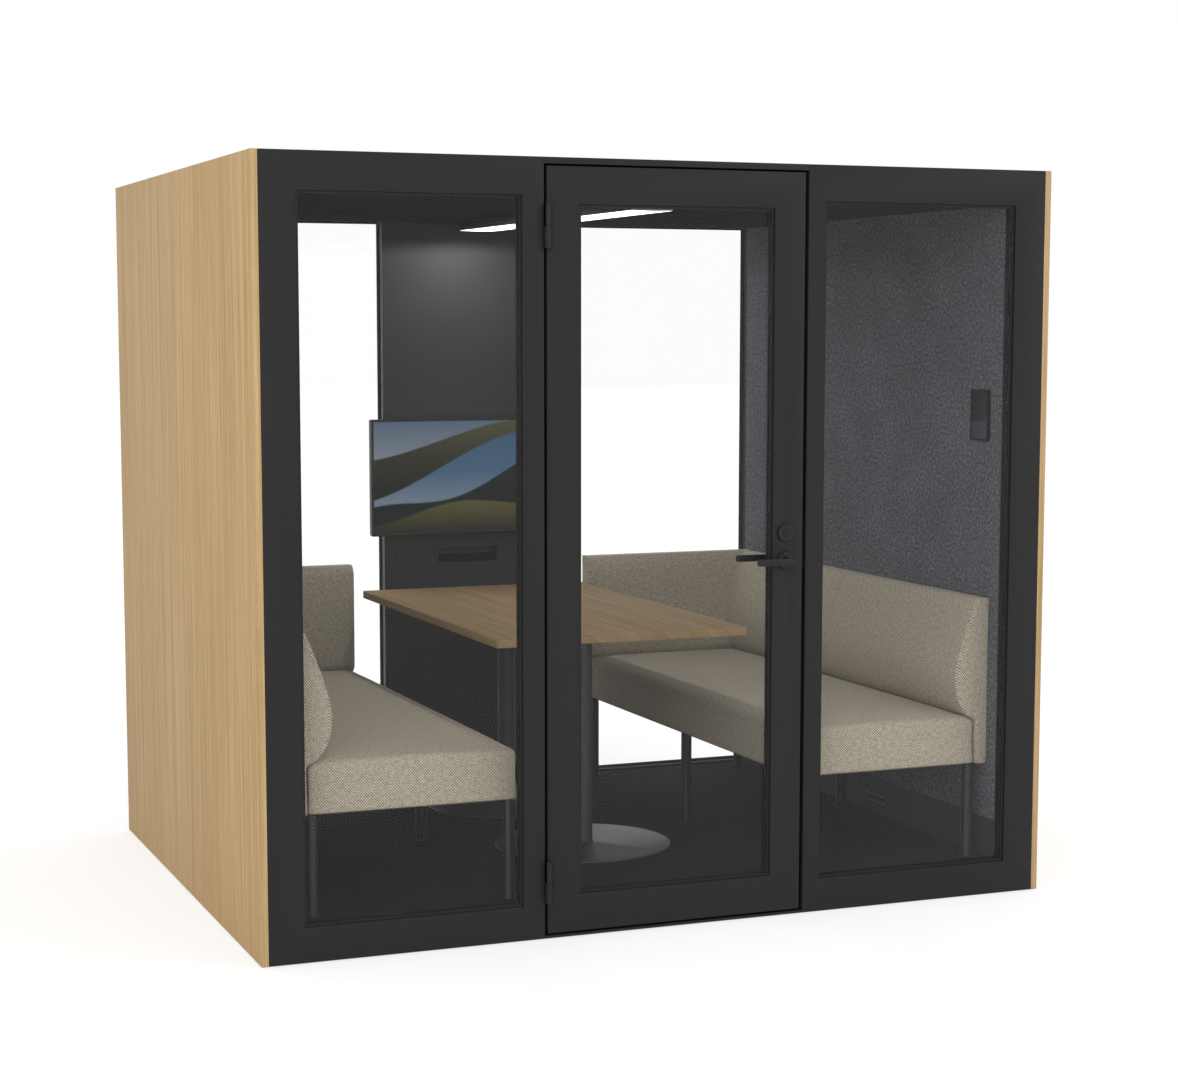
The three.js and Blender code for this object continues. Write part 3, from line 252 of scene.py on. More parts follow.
class SurfaceGraph(Graph):
    """The node tree of one finish."""

    def __init__(self, name: str) -> None:
        """Makes an empty material of that name."""
        self.material = bpy.data.materials.new(name)
        self.material.use_nodes = True
        super().__init__(self.material.node_tree)
        self.tree.nodes.clear()
        self.output = self.tree.nodes.new("ShaderNodeOutputMaterial")

    def place(self) -> Field:
        """The point on the piece, in metres."""
        return self.node("ShaderNodeTexCoord", output="Object")

    def cloth_place(self) -> Field:
        """The point on the cloth's own flat pattern, in metres."""
        return self.node("ShaderNodeTexCoord", output="UV")

    def parts(self, vector: Field) -> tuple[Field, Field, Field]:
        """The three parts of a vector."""
        first = self.node("ShaderNodeSeparateXYZ", sockets={0: vector})
        return first, self.other(first, 1), self.other(first, 2)

    def vector(self, x: object, y: object, z: object) -> Field:
        """A vector of three values."""
        return self.node("ShaderNodeCombineXYZ", sockets={0: x, 1: y, 2: z})

    def noise(self, vector: Field, scale: float, detail: float = 2.0, roughness: float = 0.5) -> Field:
        """A noise from about 0 to 1.

        Args:
            vector: where it is read.
            scale: lumps in a metre.
            detail: octaves.
            roughness: the weight of the finer octaves.

        Returns:
            The noise.
        """
        sockets = {"Vector": vector, "Scale": scale, "Detail": detail, "Roughness": roughness}
        return self.node("ShaderNodeTexNoise", {}, sockets)

    def mix(self, factor: object, first: object, second: object) -> Field:
        """The colour between first and second."""
        settings = {"data_type": "RGBA", "clamp_factor": True}
        return self.node("ShaderNodeMix", settings, {0: factor, 6: first, 7: second}, 2)

    def ramp(self, value: Field, *stops: tuple[float, str]) -> Field:
        """The colour at a value along these stops."""
        linear = [(place, tint(code)) for place, code in stops]
        return self.node("ShaderNodeValToRGB", {"stops": linear}, {0: value})

    def bump(self, height: Field, strength: float, distance: float) -> Field:
        """The normal of a surface with that relief."""
        sockets = {"Height": height, "Strength": strength, "Distance": distance}
        return self.node("ShaderNodeBump", {}, sockets)

    def shade(
        self,
        colour: object,
        roughness: object,
        specular: float = 0.5,
        normal: Field | None = None,
        more: dict[str, object] | None = None,
    ) -> bpy.types.Material:
        """Ends the tree in a Principled shader.

        Args:
            colour: the base colour.
            roughness: the roughness.
            specular: the level of the plain reflection.
            normal: the normal of the relief, if there is any.
            more: other sockets of the shader.

        Returns:
            The finished material.
        """
        sockets = {"Base Color": colour, "Roughness": roughness, "Specular IOR Level": specular}
        sockets.update(more or {})
        if normal is not None:
            sockets["Normal"] = normal
        return self.show(self.node("ShaderNodeBsdfPrincipled", {}, sockets))

    def show(self, shader: Field) -> bpy.types.Material:
        """Ends the tree in this shader, and gives back the material."""
        self.feed(self.output.inputs["Surface"], shader)
        return self.material


@dataclass(frozen=True)
class Finish:
    """A named finish."""

    name: str

    def make(self) -> bpy.types.Material:
        """Builds the material."""
        return self.lay(SurfaceGraph(self.name))

    def lay(self, g: SurfaceGraph) -> bpy.types.Material:
        """Lays the nodes of this finish."""
        raise NotImplementedError


@dataclass(frozen=True)
class OakVeneer(Finish):
    """Straight-grained oak with narrow streaks, leaves of slightly different tone and fine pores."""

    grain: Grain
    pale: str = "caad80"
    middle: str = "bb9d72"
    deep: str = "a78a60"
    pore: str = "866a45"
    leaf_width: float = 0.165

    def lay(self, g: SurfaceGraph) -> bpy.types.Material:
        """Lays the nodes of this finish."""
        x, y, z = g.parts(g.place())
        across, along = (y + x, z) if self.grain is Grain.UPRIGHT else (x + z, y)
        leaf = (across / self.leaf_width).floor()
        leaf_tone = g.node("ShaderNodeTexWhiteNoise", {"noise_dimensions": "1D"}, {"W": leaf})
        wander = (g.noise(g.vector(across * 0.4, along * 0.35, leaf), 3.0) - 0.5) * 0.02
        grain = across + wander
        band = g.noise(g.vector(grain, along * 0.03, leaf * 3.7), 24.0, 3.0, 0.6)
        streak = g.noise(g.vector(grain, along * 0.012, leaf * 1.9), 70.0, 4.0, 0.75)
        fibre = g.noise(g.vector(grain, along * 0.02, 4.0), 620.0, 2.0, 0.6)
        pores = g.noise(g.vector(grain, along * 0.035, 9.0), 900.0, 1.0, 0.4).between(0.62, 0.74)
        tone = (band - 0.5) * 0.7 + (streak - 0.5) * 2.4 + (fibre - 0.5) * 0.5
        tone = tone + (leaf_tone - 0.5) * 0.12 + 0.5
        wood = g.ramp(tone, (0.1, self.deep), (0.5, self.middle), (0.9, self.pale))
        colour = g.mix(pores * 0.4, wood, tint(self.pore))
        return g.shade(colour, 0.56 + 0.12 * streak, 0.08, g.bump(fibre * 0.6 - pores, 0.1, 0.0005))


@dataclass(frozen=True)
class PowderCoat(Finish):
    """Baked powder paint: a dark even colour with a fine orange-peel skin."""

    colour: str
    worn: str
    roughness: float
    relief: float
    specular: float

    def lay(self, g: SurfaceGraph) -> bpy.types.Material:
        """Lays the nodes of this finish."""
        place = g.place()
        cloud = g.noise(place, 2.2, 3.0)
        speck = g.noise(place, 150.0, 1.0)
        peel = g.noise(place, 90.0, 1.0)
        colour = g.mix(cloud * 0.7 + speck * 0.3, tint(self.colour), tint(self.worn))
        skin = self.roughness + (cloud - 0.5) * 0.08 + (speck - 0.5) * 0.04
        return g.shade(colour, skin, self.specular, g.bump(peel, self.relief, 0.0003))


@dataclass(frozen=True)
class HeatherFelt(Finish):
    """Pressed wool felt of mixed grey fibres."""

    dark: str = "424247"
    middle: str = "5e5e64"
    pale: str = "8c8c95"

    def lay(self, g: SurfaceGraph) -> bpy.types.Material:
        """Lays the nodes of this finish."""
        place = g.place()
        fleck = g.noise(place, 105.0, 2.0, 0.7)
        cloud = g.noise(place, 5.0, 2.0)
        tone = (fleck - 0.5) * 1.5 + (cloud - 0.5) * 0.2 + 0.5
        colour = g.ramp(tone, (0.15, self.dark), (0.5, self.middle), (0.9, self.pale))
        return g.shade(colour, 0.96, 0.05, g.bump(fleck, 0.06, 0.0006))


@dataclass(frozen=True)
class HopsackWeave(Finish):
    """Two-tone hopsack: pale and dark yarns that pass over each other in small checks, with painted shade
    darkening the hollows between the yarns.
    """

    pale: str = "e2d8c4"
    dark: str = "7c7361"
    # the colour of the painted shade in the hollows between yarns
    hollow: str = "4a4337"
    thread: float = 0.0044

    def lay(self, g: SurfaceGraph) -> bpy.types.Material:
        """Lays the nodes of this finish."""
        u, v, _ = g.parts(g.cloth_place())
        drift = g.vector(u, v, 0.0)
        sway = (g.noise(drift, 40.0, 1.0) - 0.5) * 0.0011
        across = (u + sway) / self.thread
        along = (v - sway) / self.thread
        check = (across.floor() + along.floor()) % 2.0
        warp = (across * math.pi).sine().size()
        weft = (along * math.pi).sine().size()
        dome = warp * weft
        slub_warp = g.noise(g.vector(u, v * 0.3, 2.0), 220.0, 1.0)
        slub_weft = g.noise(g.vector(u * 0.3, v, 7.0), 220.0, 1.0)
        slub = check * slub_warp + (1 - check) * slub_weft
        streak = slub_warp + slub_weft - 1.0
        pale_share = check * 0.8 + 0.1 + (slub - 0.5) * 0.5 + streak * 0.7
        yarn = g.mix(pale_share, tint(self.dark), tint(self.pale))
        # painted shade: the colour darkens towards the hollows between yarns, where the domes fall away
        colour = g.mix((1 - dome) * 0.3, yarn, tint(self.hollow))
        relief = g.bump(dome * (0.6 + 0.4 * check) + streak * 0.5, 0.3, 0.0006)
        sheen = {"Sheen Weight": 0.3, "Sheen Roughness": 0.45, "Sheen Tint": tint(self.pale)}
        return g.shade(colour, 0.88 + 0.08 * slub, 0.15, relief, sheen)


@dataclass(frozen=True)
class LoopCarpet(Finish):
    """Low loop-pile carpet tile, near black with paler loops."""

    dark: str = "1b1b1c"
    pale: str = "2f2f31"

    def lay(self, g: SurfaceGraph) -> bpy.types.Material:
        """Lays the nodes of this finish."""
        place = g.place()
        loop = g.node("ShaderNodeTexVoronoi", {"feature": "F1"}, {"Vector": place, "Scale": 120.0})
        mottle = g.noise(place, 70.0, 2.0)
        tone = (1 - loop) * 0.45 + (mottle - 0.5) * 0.9
        colour = g.mix(tone, tint(self.dark), tint(self.pale))
        return g.shade(colour, 0.97, 0.08, g.bump(1 - loop, 0.06, 0.0015))


@dataclass(frozen=True)
class ClearGlass(Finish):
    """Clear laminated glass: see-through, with a plain reflection that grows at a slant."""

    tint: Colour = (0.997, 0.999, 0.998, 1.0)
    share: float = 0.3

    def lay(self, g: SurfaceGraph) -> bpy.types.Material:
        """Lays the nodes of this finish."""
        through = g.node("ShaderNodeBsdfTransparent", {}, {"Color": self.tint})
        smear = g.noise(g.place(), 3.0, 2.0)
        gloss = g.node("ShaderNodeBsdfGlossy", {}, {"Color": (1, 1, 1, 1), "Roughness": 0.01})
        facing = g.node("ShaderNodeFresnel", {}, {"IOR": 1.46})
        factor = facing * (self.share + (smear - 0.5) * 0.06)
        return g.show(g.node("ShaderNodeMixShader", {}, {0: factor, 1: through, 2: gloss}))


@dataclass(frozen=True)
class Moulded(Finish):
    """Moulded plastic or rubber: a dark body with a fine grain."""

    colour: str
    bloom: str
    roughness: float
    grain: float = 160.0
    relief: float = 0.05

    def lay(self, g: SurfaceGraph) -> bpy.types.Material:
        """Lays the nodes of this finish."""
        place = g.place()
        grain = g.noise(place, self.grain, 2.0)
        cloud = g.noise(place, 8.0, 2.0)
        colour = g.mix(grain * 0.5 + cloud * 0.4, tint(self.colour), tint(self.bloom))
        skin = self.roughness + (grain - 0.5) * 0.1
        return g.shade(colour, skin, 0.35, g.bump(grain, self.relief, 0.0004))


@dataclass(frozen=True)
class BrushedSteel(Finish):
    """Satin stainless steel, brushed upright."""

    colour: str = "a9aaab"
    dull: str = "8d8e90"

    def lay(self, g: SurfaceGraph) -> bpy.types.Material:
        """Lays the nodes of this finish."""
        x, y, z = g.parts(g.place())
        brush = g.noise(g.vector(x, y, z * 0.03), 1400.0, 2.0)
        colour = g.mix(brush, tint(self.dull), tint(self.colour))
        relief = g.bump(brush, 0.08, 0.0002)
        return g.shade(colour, 0.3 + 0.14 * brush, normal=relief, more={"Metallic": 1.0})


@dataclass(frozen=True)
class SatinFoot(Finish):
    """Satin black paint on a turned steel plate and its column, with faint turning rings on the plate."""

    centre: tuple[float, float]
    plate_top: float = 0.1058
    colour: str = "383838"
    dull: str = "2e2e2e"

    def lay(self, g: SurfaceGraph) -> bpy.types.Material:
        """Lays the nodes of this finish."""
        x, y, z = g.parts(g.place())
        east, north = x - self.centre[0], y - self.centre[1]
        arm = g.vector(east, north, 0.0)
        reach = g.node("ShaderNodeVectorMath", {"operation": "LENGTH"}, {0: arm}, "Value")
        ring = g.noise(g.vector(reach, 0.0, 0.0), 160.0, 2.0)
        cloud = g.noise(g.place(), 4.0, 2.0)
        plate = 1 - z.between(self.plate_top, self.plate_top + 0.004)
        colour = g.mix(ring * 0.5 + cloud * 0.5, tint(self.dull), tint(self.colour))
        skin = 0.5 - 0.1 * plate + (ring - 0.5) * 0.06
        return g.shade(colour, skin, 0.62, g.bump(ring * plate, 0.03, 0.0002))


@dataclass(frozen=True)
class LitCover(Finish):
    """The opal cover of the ceiling light: its underside is lit by two rows of lamps, its edges stay grey."""

    strength: float = 3.0

    def lay(self, g: SurfaceGraph) -> bpy.types.Material:
        """Lays the nodes of this finish."""
        x, _, _ = g.parts(g.place())
        rows = (x * 46.0).sine().size()
        glow = g.mix(rows, (0.93, 0.95, 1.0, 1.0), (1.0, 0.98, 0.95, 1.0))
        _, _, facing = g.parts(g.node("ShaderNodeNewGeometry", output="Normal"))
        under = (0 - facing).between(0.5, 0.7)
        lit = g.mix(under, (0.0, 0.0, 0.0, 1.0), glow)
        light = {"Emission Color": lit, "Emission Strength": self.strength}
        return g.shade(tint("8f8f8d"), 0.45, more=light)


@dataclass(frozen=True)
class ScreenPicture(Finish):
    """A lit display that shows plain flowing bands of colour."""

    middle: tuple[float, float] = (0.0, 1.261)
    half_width: float = 0.377
    half_height: float = 0.206
    soft: float = 0.02
    strength: float = 0.4

    def lay(self, g: SurfaceGraph) -> bpy.types.Material:
        """Lays the nodes of this finish."""
        x, _, z = g.parts(g.place())
        u = (x - self.middle[0]) / self.half_width
        v = (z - self.middle[1]) / self.half_height
        swell = (u * 1.9 + 0.6).sine() * 0.34
        ripple = (u * 3.3 - 1.1).sine() * 0.16
        first = (v - swell - u * 0.35 - 0.28).between(-self.soft, self.soft)
        second = (v - ripple - u * 0.55 + 0.12).between(-self.soft, self.soft)
        third = (v + ripple * 0.8 - u * 0.2 + 0.55).between(-self.soft, self.soft)
        fade = (v + 1) * 0.5
        low = g.ramp(fade, (0.0, "23241a"), (0.25, "6b6638"), (0.6, "857d45"))
        deep = g.ramp(fade, (0.0, "0c1116"), (0.6, "1c2227"), (1.0, "2a3136"))
        lake = g.ramp(fade, (0.1, "adbccb"), (0.55, "5d82a6"), (1.0, "4c7096"))
        slope = g.ramp(fade, (0.4, "1d2016"), (0.7, "3f3f2c"), (1.0, "67643f"))
        sky = g.ramp(fade, (0.5, "b6bfc7"), (1.0, "7189a2"))
        picture = g.mix(third, low, deep)
        picture = g.mix(second, picture, lake)
        picture = g.mix(first, picture, slope)
        top = (v - swell * 0.6 - u * 0.2 - 0.72).between(-self.soft, self.soft)
        picture = g.mix(top, picture, sky)
        light = {"Emission Color": picture, "Emission Strength": self.strength}
        return g.shade(tint("08090b"), 0.3, 0.12, more=light)


@dataclass(frozen=True)
class TouchGlass(Finish):
    """The dark glass face of the wall control, with a paler field at its foot."""

    split: float = 1.512
    split_soft: float = 0.0015
    field_foot: float = 1.4565
    field_setback: float = 0.791
    field_edge: tuple[float, float] = (0.047, 0.0455)
    dark: str = "101113"
    field_colour: str = "2f3a41"

    def lay(self, g: SurfaceGraph) -> bpy.types.Material:
        """Lays the nodes of this finish."""
        x, y, z = g.parts(g.place())
        lower = 1 - z.between(self.split - self.split_soft, self.split + self.split_soft)
        sides = (y + self.field_setback).size().between(*self.field_edge)
        inset = sides * (z - self.field_foot).between(0.0, 0.001)
        smear = g.noise(g.vector(x, y, z), 24.0, 2.0)
        colour = g.mix(lower * inset, tint(self.dark), tint(self.field_colour))
        return g.shade(colour, 0.5 + 0.12 * smear, 0.1)


@dataclass(frozen=True)
class SeamYarn(Finish):
    """Twisted yarn of the cord under the seats' open edges."""

    pale: str = "8d826d"
    dark: str = "665d4c"

    def lay(self, g: SurfaceGraph) -> bpy.types.Material:
        """Lays the nodes of this finish."""
        place = g.place()
        x, y, z = g.parts(place)
        twist = ((x + y + z) * 1800.0).sine() * 0.5 + 0.5
        fuzz = g.noise(place, 700.0, 2.0)
        colour = g.mix(twist * 0.6 + fuzz * 0.4, tint(self.dark), tint(self.pale))
        return g.shade(colour, 0.9, 0.1, g.bump(twist, 0.4, 0.0005))


class Palette:
    """Every finish of the pod, made once."""

    def __init__(self) -> None:
        """Makes the finishes."""
        self.oak = OakVeneer("oak upright", Grain.UPRIGHT).make()
        self.table_oak = OakVeneer(
            "oak lengthwise", Grain.LENGTHWISE, "a98f6c", "9b815e", "86704f", "6d5639", 0.22
        ).make()
        self.paint = PowderCoat("charcoal powder coat", "202020", "262626", 0.55, 0.04, 0.2).make()
        self.board = PowderCoat("charcoal board", "28282a", "2f2f30", 0.6, 0.006, 0.34).make()
        self.ceiling = PowderCoat("dark ceiling board", "29292a", "2f2f30", 0.9, 0.006, 0.0).make()
        self.metal = PowderCoat("black metal", "161616", "1d1d1d", 0.42, 0.04, 0.3).make()
        self.furniture = PowderCoat("charcoal door furniture", "202020", "262626", 0.5, 0.03, 0.22).make()
        self.band = PowderCoat("grey edge band", "626262", "6c6c6c", 0.45, 0.03, 0.3).make()
        self.slat = PowderCoat("grey slat", "a2a2a2", "b4b4b4", 0.5, 0.02, 0.3).make()
        self.rubber = Moulded("black rubber", "060606", "0e0e0e", 0.75).make()
        self.gasket = Moulded("charcoal rubber", "1a1a1a", "222222", 0.7).make()
        self.plastic = Moulded("black plastic", "121213", "1a1a1c", 0.42).make()
        self.glass = ClearGlass("clear glass").make()
        self.felt = HeatherFelt("grey felt").make()
        self.tweed = HopsackWeave("hopsack tweed").make()
        self.carpet = LoopCarpet("loop carpet").make()
        self.lit_cover = LitCover("lit cover").make()
        self.screen = ScreenPicture("screen picture").make()
        self.touch_glass = TouchGlass("touch glass").make()
        self.steel = BrushedSteel("brushed steel").make()
        self.seam = SeamYarn("seam yarn").make()


class ShapeGraph(Graph):
    """A Geometry Nodes tree with named sizes, which ends in one plain mesh of one finish."""

    def __init__(self, name: str, sizes: dict[str, float], shapes: Sequence[str] = ()) -> None:
        """Makes the tree and its inputs.

        Args:
            name: the tree's name.
            sizes: the named sizes and their usual values, in metres or degrees.
            shapes: the named objects that the tree repeats.
        """
        super().__init__(bpy.data.node_groups.new(name, "GeometryNodeTree"))
        face = self.tree.interface
        face.new_socket("Geometry", in_out="INPUT", socket_type="NodeSocketGeometry")
        face.new_socket("Geometry", in_out="OUTPUT", socket_type="NodeSocketGeometry")
        for size, value in sizes.items():
            face.new_socket(size, in_out="INPUT", socket_type="NodeSocketFloat").default_value = value
        for shape in shapes:
            face.new_socket(shape, in_out="INPUT", socket_type="NodeSocketObject")
        face.new_socket("Finish", in_out="INPUT", socket_type="NodeSocketMaterial")
        self.entry = self.tree.nodes.new("NodeGroupInput")
        self.exit = self.tree.nodes.new("NodeGroupOutput")

    def given(self, name: str) -> Field:
        """A named input of the tree."""
        return Field(self, self.entry.outputs[name])

    def close(self, geometry: Field) -> None:
        """Ends the tree in Realize Instances and Set Material."""
        real = self.node("GeometryNodeRealizeInstances", {}, {"Geometry": geometry})
        dressed = self.node(
            "GeometryNodeSetMaterial", {}, {"Geometry": real, "Material": self.given("Finish")}
        )
        self.feed(self.exit.inputs["Geometry"], dressed)

    def run(self, name: str, guide: bpy.types.Mesh, values: dict[str, object]) -> bpy.types.Object:
        """Grows the tree's shape on a guide mesh.

        Args:
            name: the name of the finished piece.
            guide: the points or paths that the shape follows.
            values: the named inputs, the finish among them.

        Returns:
            The finished piece as a plain mesh.
        """
        holder = link_object(name + "_guide", guide)
        modifier = holder.modifiers.new("shape", "NODES")
        modifier.node_group = self.tree
        for item in self.tree.interface.items_tree:
            if item.name in values and item.in_out == "INPUT":
                modifier[item.identifier] = values[item.name]
        depsgraph = bpy.context.evaluated_depsgraph_get()
        made = bpy.data.meshes.new_from_object(holder.evaluated_get(depsgraph), depsgraph=depsgraph)
        holder.modifiers.remove(modifier)
        bpy.data.objects.remove(holder)
        made.name = name
        return link_object(name, made)


def link_object(name: str, mesh: bpy.types.Mesh) -> bpy.types.Object:
    """Puts a mesh in the scene as an object at the origin."""
    made = bpy.data.objects.new(name, mesh)
    bpy.context.scene.collection.objects.link(made)
    return made


def mesh_from(bm: bmesh.types.BMesh, name: str) -> bpy.types.Mesh:
    """Turns a bmesh into a mesh, and frees it."""
    mesh = bpy.data.meshes.new(name)
    bm.to_mesh(mesh)
    bm.free()
    return mesh


def smooth_by_angle(mesh: bpy.types.Mesh, degrees: float) -> None:
    """Shades a mesh smooth, but for edges sharper than this angle."""
    mesh.shade_smooth()
    mesh.set_sharp_from_angle(angle=math.radians(degrees))


def dress(piece: bpy.types.Object, finish: bpy.types.Material) -> None:
    """Gives a new piece one finish all over."""
    piece.data.materials.clear()
    piece.data.materials.append(finish)


def adopt(piece: bpy.types.Object, body: Body, slot: Slot, *nodes: str) -> bpy.types.Object:
    """Hangs a finished piece on its body.

    Args:
        piece: the piece, in place.
        body: the body that it moves with.
        slot: the record's slot; not used.
        nodes: the CAD nodes that it stands for.

    Returns:
        The same piece.
    """
    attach(piece, body.value)
    if nodes:
        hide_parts(*nodes)
    LOG.info("%s on %s: %d faces", piece.name, body.value, len(piece.data.polygons))
    return piece


def paint_node(node: str, finish: bpy.types.Material) -> None:
    """Gives a CAD node that keeps its shape a finish."""
    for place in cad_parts[node].material_slots:
        place.material = finish
    LOG.info("%s keeps its shape: %s", node, finish.name)


def merged_copy(node: str) -> bmesh.types.BMesh:
    """A copy of a CAD node with its corners merged and its flat faces joined."""
    bm = bmesh.new()
    bm.from_mesh(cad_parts[node].data)
    bmesh.ops.remove_doubles(bm, verts=bm.verts, dist=WELD)
    limit = math.radians(FLAT_ANGLE)
    bmesh.ops.dissolve_limit(
        bm, angle_limit=limit, verts=bm.verts, edges=bm.edges, use_dissolve_boundaries=False
    )
    return bm


def eased_copy(
    node: str, body: Body, slot: Slot, finish: bpy.types.Material, ease: float
) -> bpy.types.Object:
    """Replaces a CAD node by a copy with eased edges and smooth round faces.

    Args:
        node: the CAD node.
        body: the body that it moves with.
        slot: the record's slot.
        finish: the finish.
        ease: the width of the eased edge, in metres.

    Returns:
        The finished piece.
    """
    bm = merged_copy(node)
    limit = math.radians(SHARP_ANGLE)
    edges = [e for e in bm.edges if len(e.link_faces) == 2 and e.calc_face_angle() > limit]
    if ease > 0:
        bmesh.ops.bevel(
            bm, geom=edges, offset=ease, segments=2, profile=0.5, affect="EDGES", clamp_overlap=True
        )
    mesh = mesh_from(bm, node + "_eased")
    piece = link_object(node + "_eased", mesh)
    smooth_by_angle(mesh, SMOOTH_ANGLE)
    dress(piece, finish)
    return adopt(piece, body, slot, node)


def mirrored(piece: bpy.types.Object, name: str) -> bpy.types.Object:
    """A copy of a piece on the other side of the pod.

    Args:
        piece: the piece on the right.
        name: the copy's name.

    Returns:
        The copy, with its faces turned outwards.
    """
    bm = bmesh.new()
    bm.from_mesh(piece.data)
    bm.transform(Matrix.Scale(-1.0, 4, Vector((1.0, 0.0, 0.0))))
    bmesh.ops.reverse_faces(bm, faces=bm.faces)
    copy = link_object(name, mesh_from(bm, name))
    for finish in piece.data.materials:
        copy.data.materials.append(finish)
    copy.data.shade_smooth()
    return copy


def stations(start: float, stop: float, step: float, close: Sequence[float]) -> list[float]:
    """Places along a length, closer together near both ends.

    Args:
        start: the first place.
        stop: the last place.
        step: the usual distance between two.
        close: distances from an end that get a place of their own, rising from 0.

    Returns:
        The places in order.
    """
    inner_start, inner_stop = start + close[-1], stop - close[-1]
    count = max(2, round((inner_stop - inner_start) / step))
    middle = [inner_start + (inner_stop - inner_start) * i / count for i in range(1, count)]
    return [start + c for c in close] + middle + [stop - c for c in reversed(close)]


def bezier(points: Sequence[Flat], count: int) -> list[Flat]:
    """Points along a cubic curve, without its first.

    Args:
        points: the curve's four points.
        count: how many points to give.

    Returns:
        The points in order.
    """
    made = []
    for i in range(1, count + 1):
        t = i / count
        weights = ((1 - t) ** 3, 3 * t * (1 - t) ** 2, 3 * t * t * (1 - t), t**3)
        made.append(tuple(sum(w * p[axis] for w, p in zip(weights, points)) for axis in (0, 1)))
    return made


def cord_tree() -> ShapeGraph:
    """A tree that lays a round cord along every path of its guide."""
    cord = ShapeGraph("laid cord", {"Radius": 0.0015, "Spacing": 0.008})
    curve = cord.node("GeometryNodeMeshToCurve", {}, {"Mesh": cord.given("Geometry")})
    spaced = {"Curve": curve, "Length": cord.given("Spacing")}
    even = cord.node("GeometryNodeResampleCurve", {"mode": "LENGTH"}, spaced)
    circle = {"Resolution": 8, "Radius": cord.given("Radius")}
    ring = cord.node("GeometryNodeCurvePrimitiveCircle", {}, circle)
    swept = {"Curve": even, "Profile Curve": ring, "Fill Caps": True}
    tube = cord.node("GeometryNodeCurveToMesh", {}, swept)
    cord.close(cord.node("GeometryNodeSetShadeSmooth", {}, {0: tube}))
    return cord


def repeat_shape(
    name: str, shape: bpy.types.Object, places: Sequence[tuple[Point, Point]], finish: bpy.types.Material
) -> bpy.types.Object:
    """Repeats one shape by a node tree.

    Args:
        name: the name of the finished piece.
        shape: the shape at the origin, which looks along +Z; it is used up.
        places: each copy's place and the way that it looks.
        finish: the finish of all copies.

    Returns:
        The finished piece.
    """
    guide = bpy.data.meshes.new(name + " places")
    guide.from_pydata([place for place, _ in places], [], [])
    aim = guide.attributes.new("aim", "FLOAT_VECTOR", "POINT")
    aim.data.foreach_set("vector", [value for _, way in places for value in way])
    tree = ShapeGraph("repeated shape", {"Scale": 1.0}, ("Shape",))
    way = tree.node("GeometryNodeInputNamedAttribute", {"data_type": "FLOAT_VECTOR"}, {"Name": "aim"})
    turn = tree.node("FunctionNodeAlignRotationToVector", {"axis": "Z"}, {"Vector": way})
    source = tree.node(
        "GeometryNodeObjectInfo", {"transform_space": "ORIGINAL"}, {"Object": tree.given("Shape")}, "Geometry"
    )
    points, scale = tree.given("Geometry"), tree.given("Scale")
    set_out = {"Points": points, "Instance": source, "Rotation": turn, "Scale": scale}
    tree.close(tree.node("GeometryNodeInstanceOnPoints", {}, set_out))
    piece = tree.run(name, guide, {"Scale": 1.0, "Shape": shape, "Finish": finish})
    bpy.data.objects.remove(shape)
    smooth_by_angle(piece.data, COPY_SMOOTH_ANGLE)
    return piece


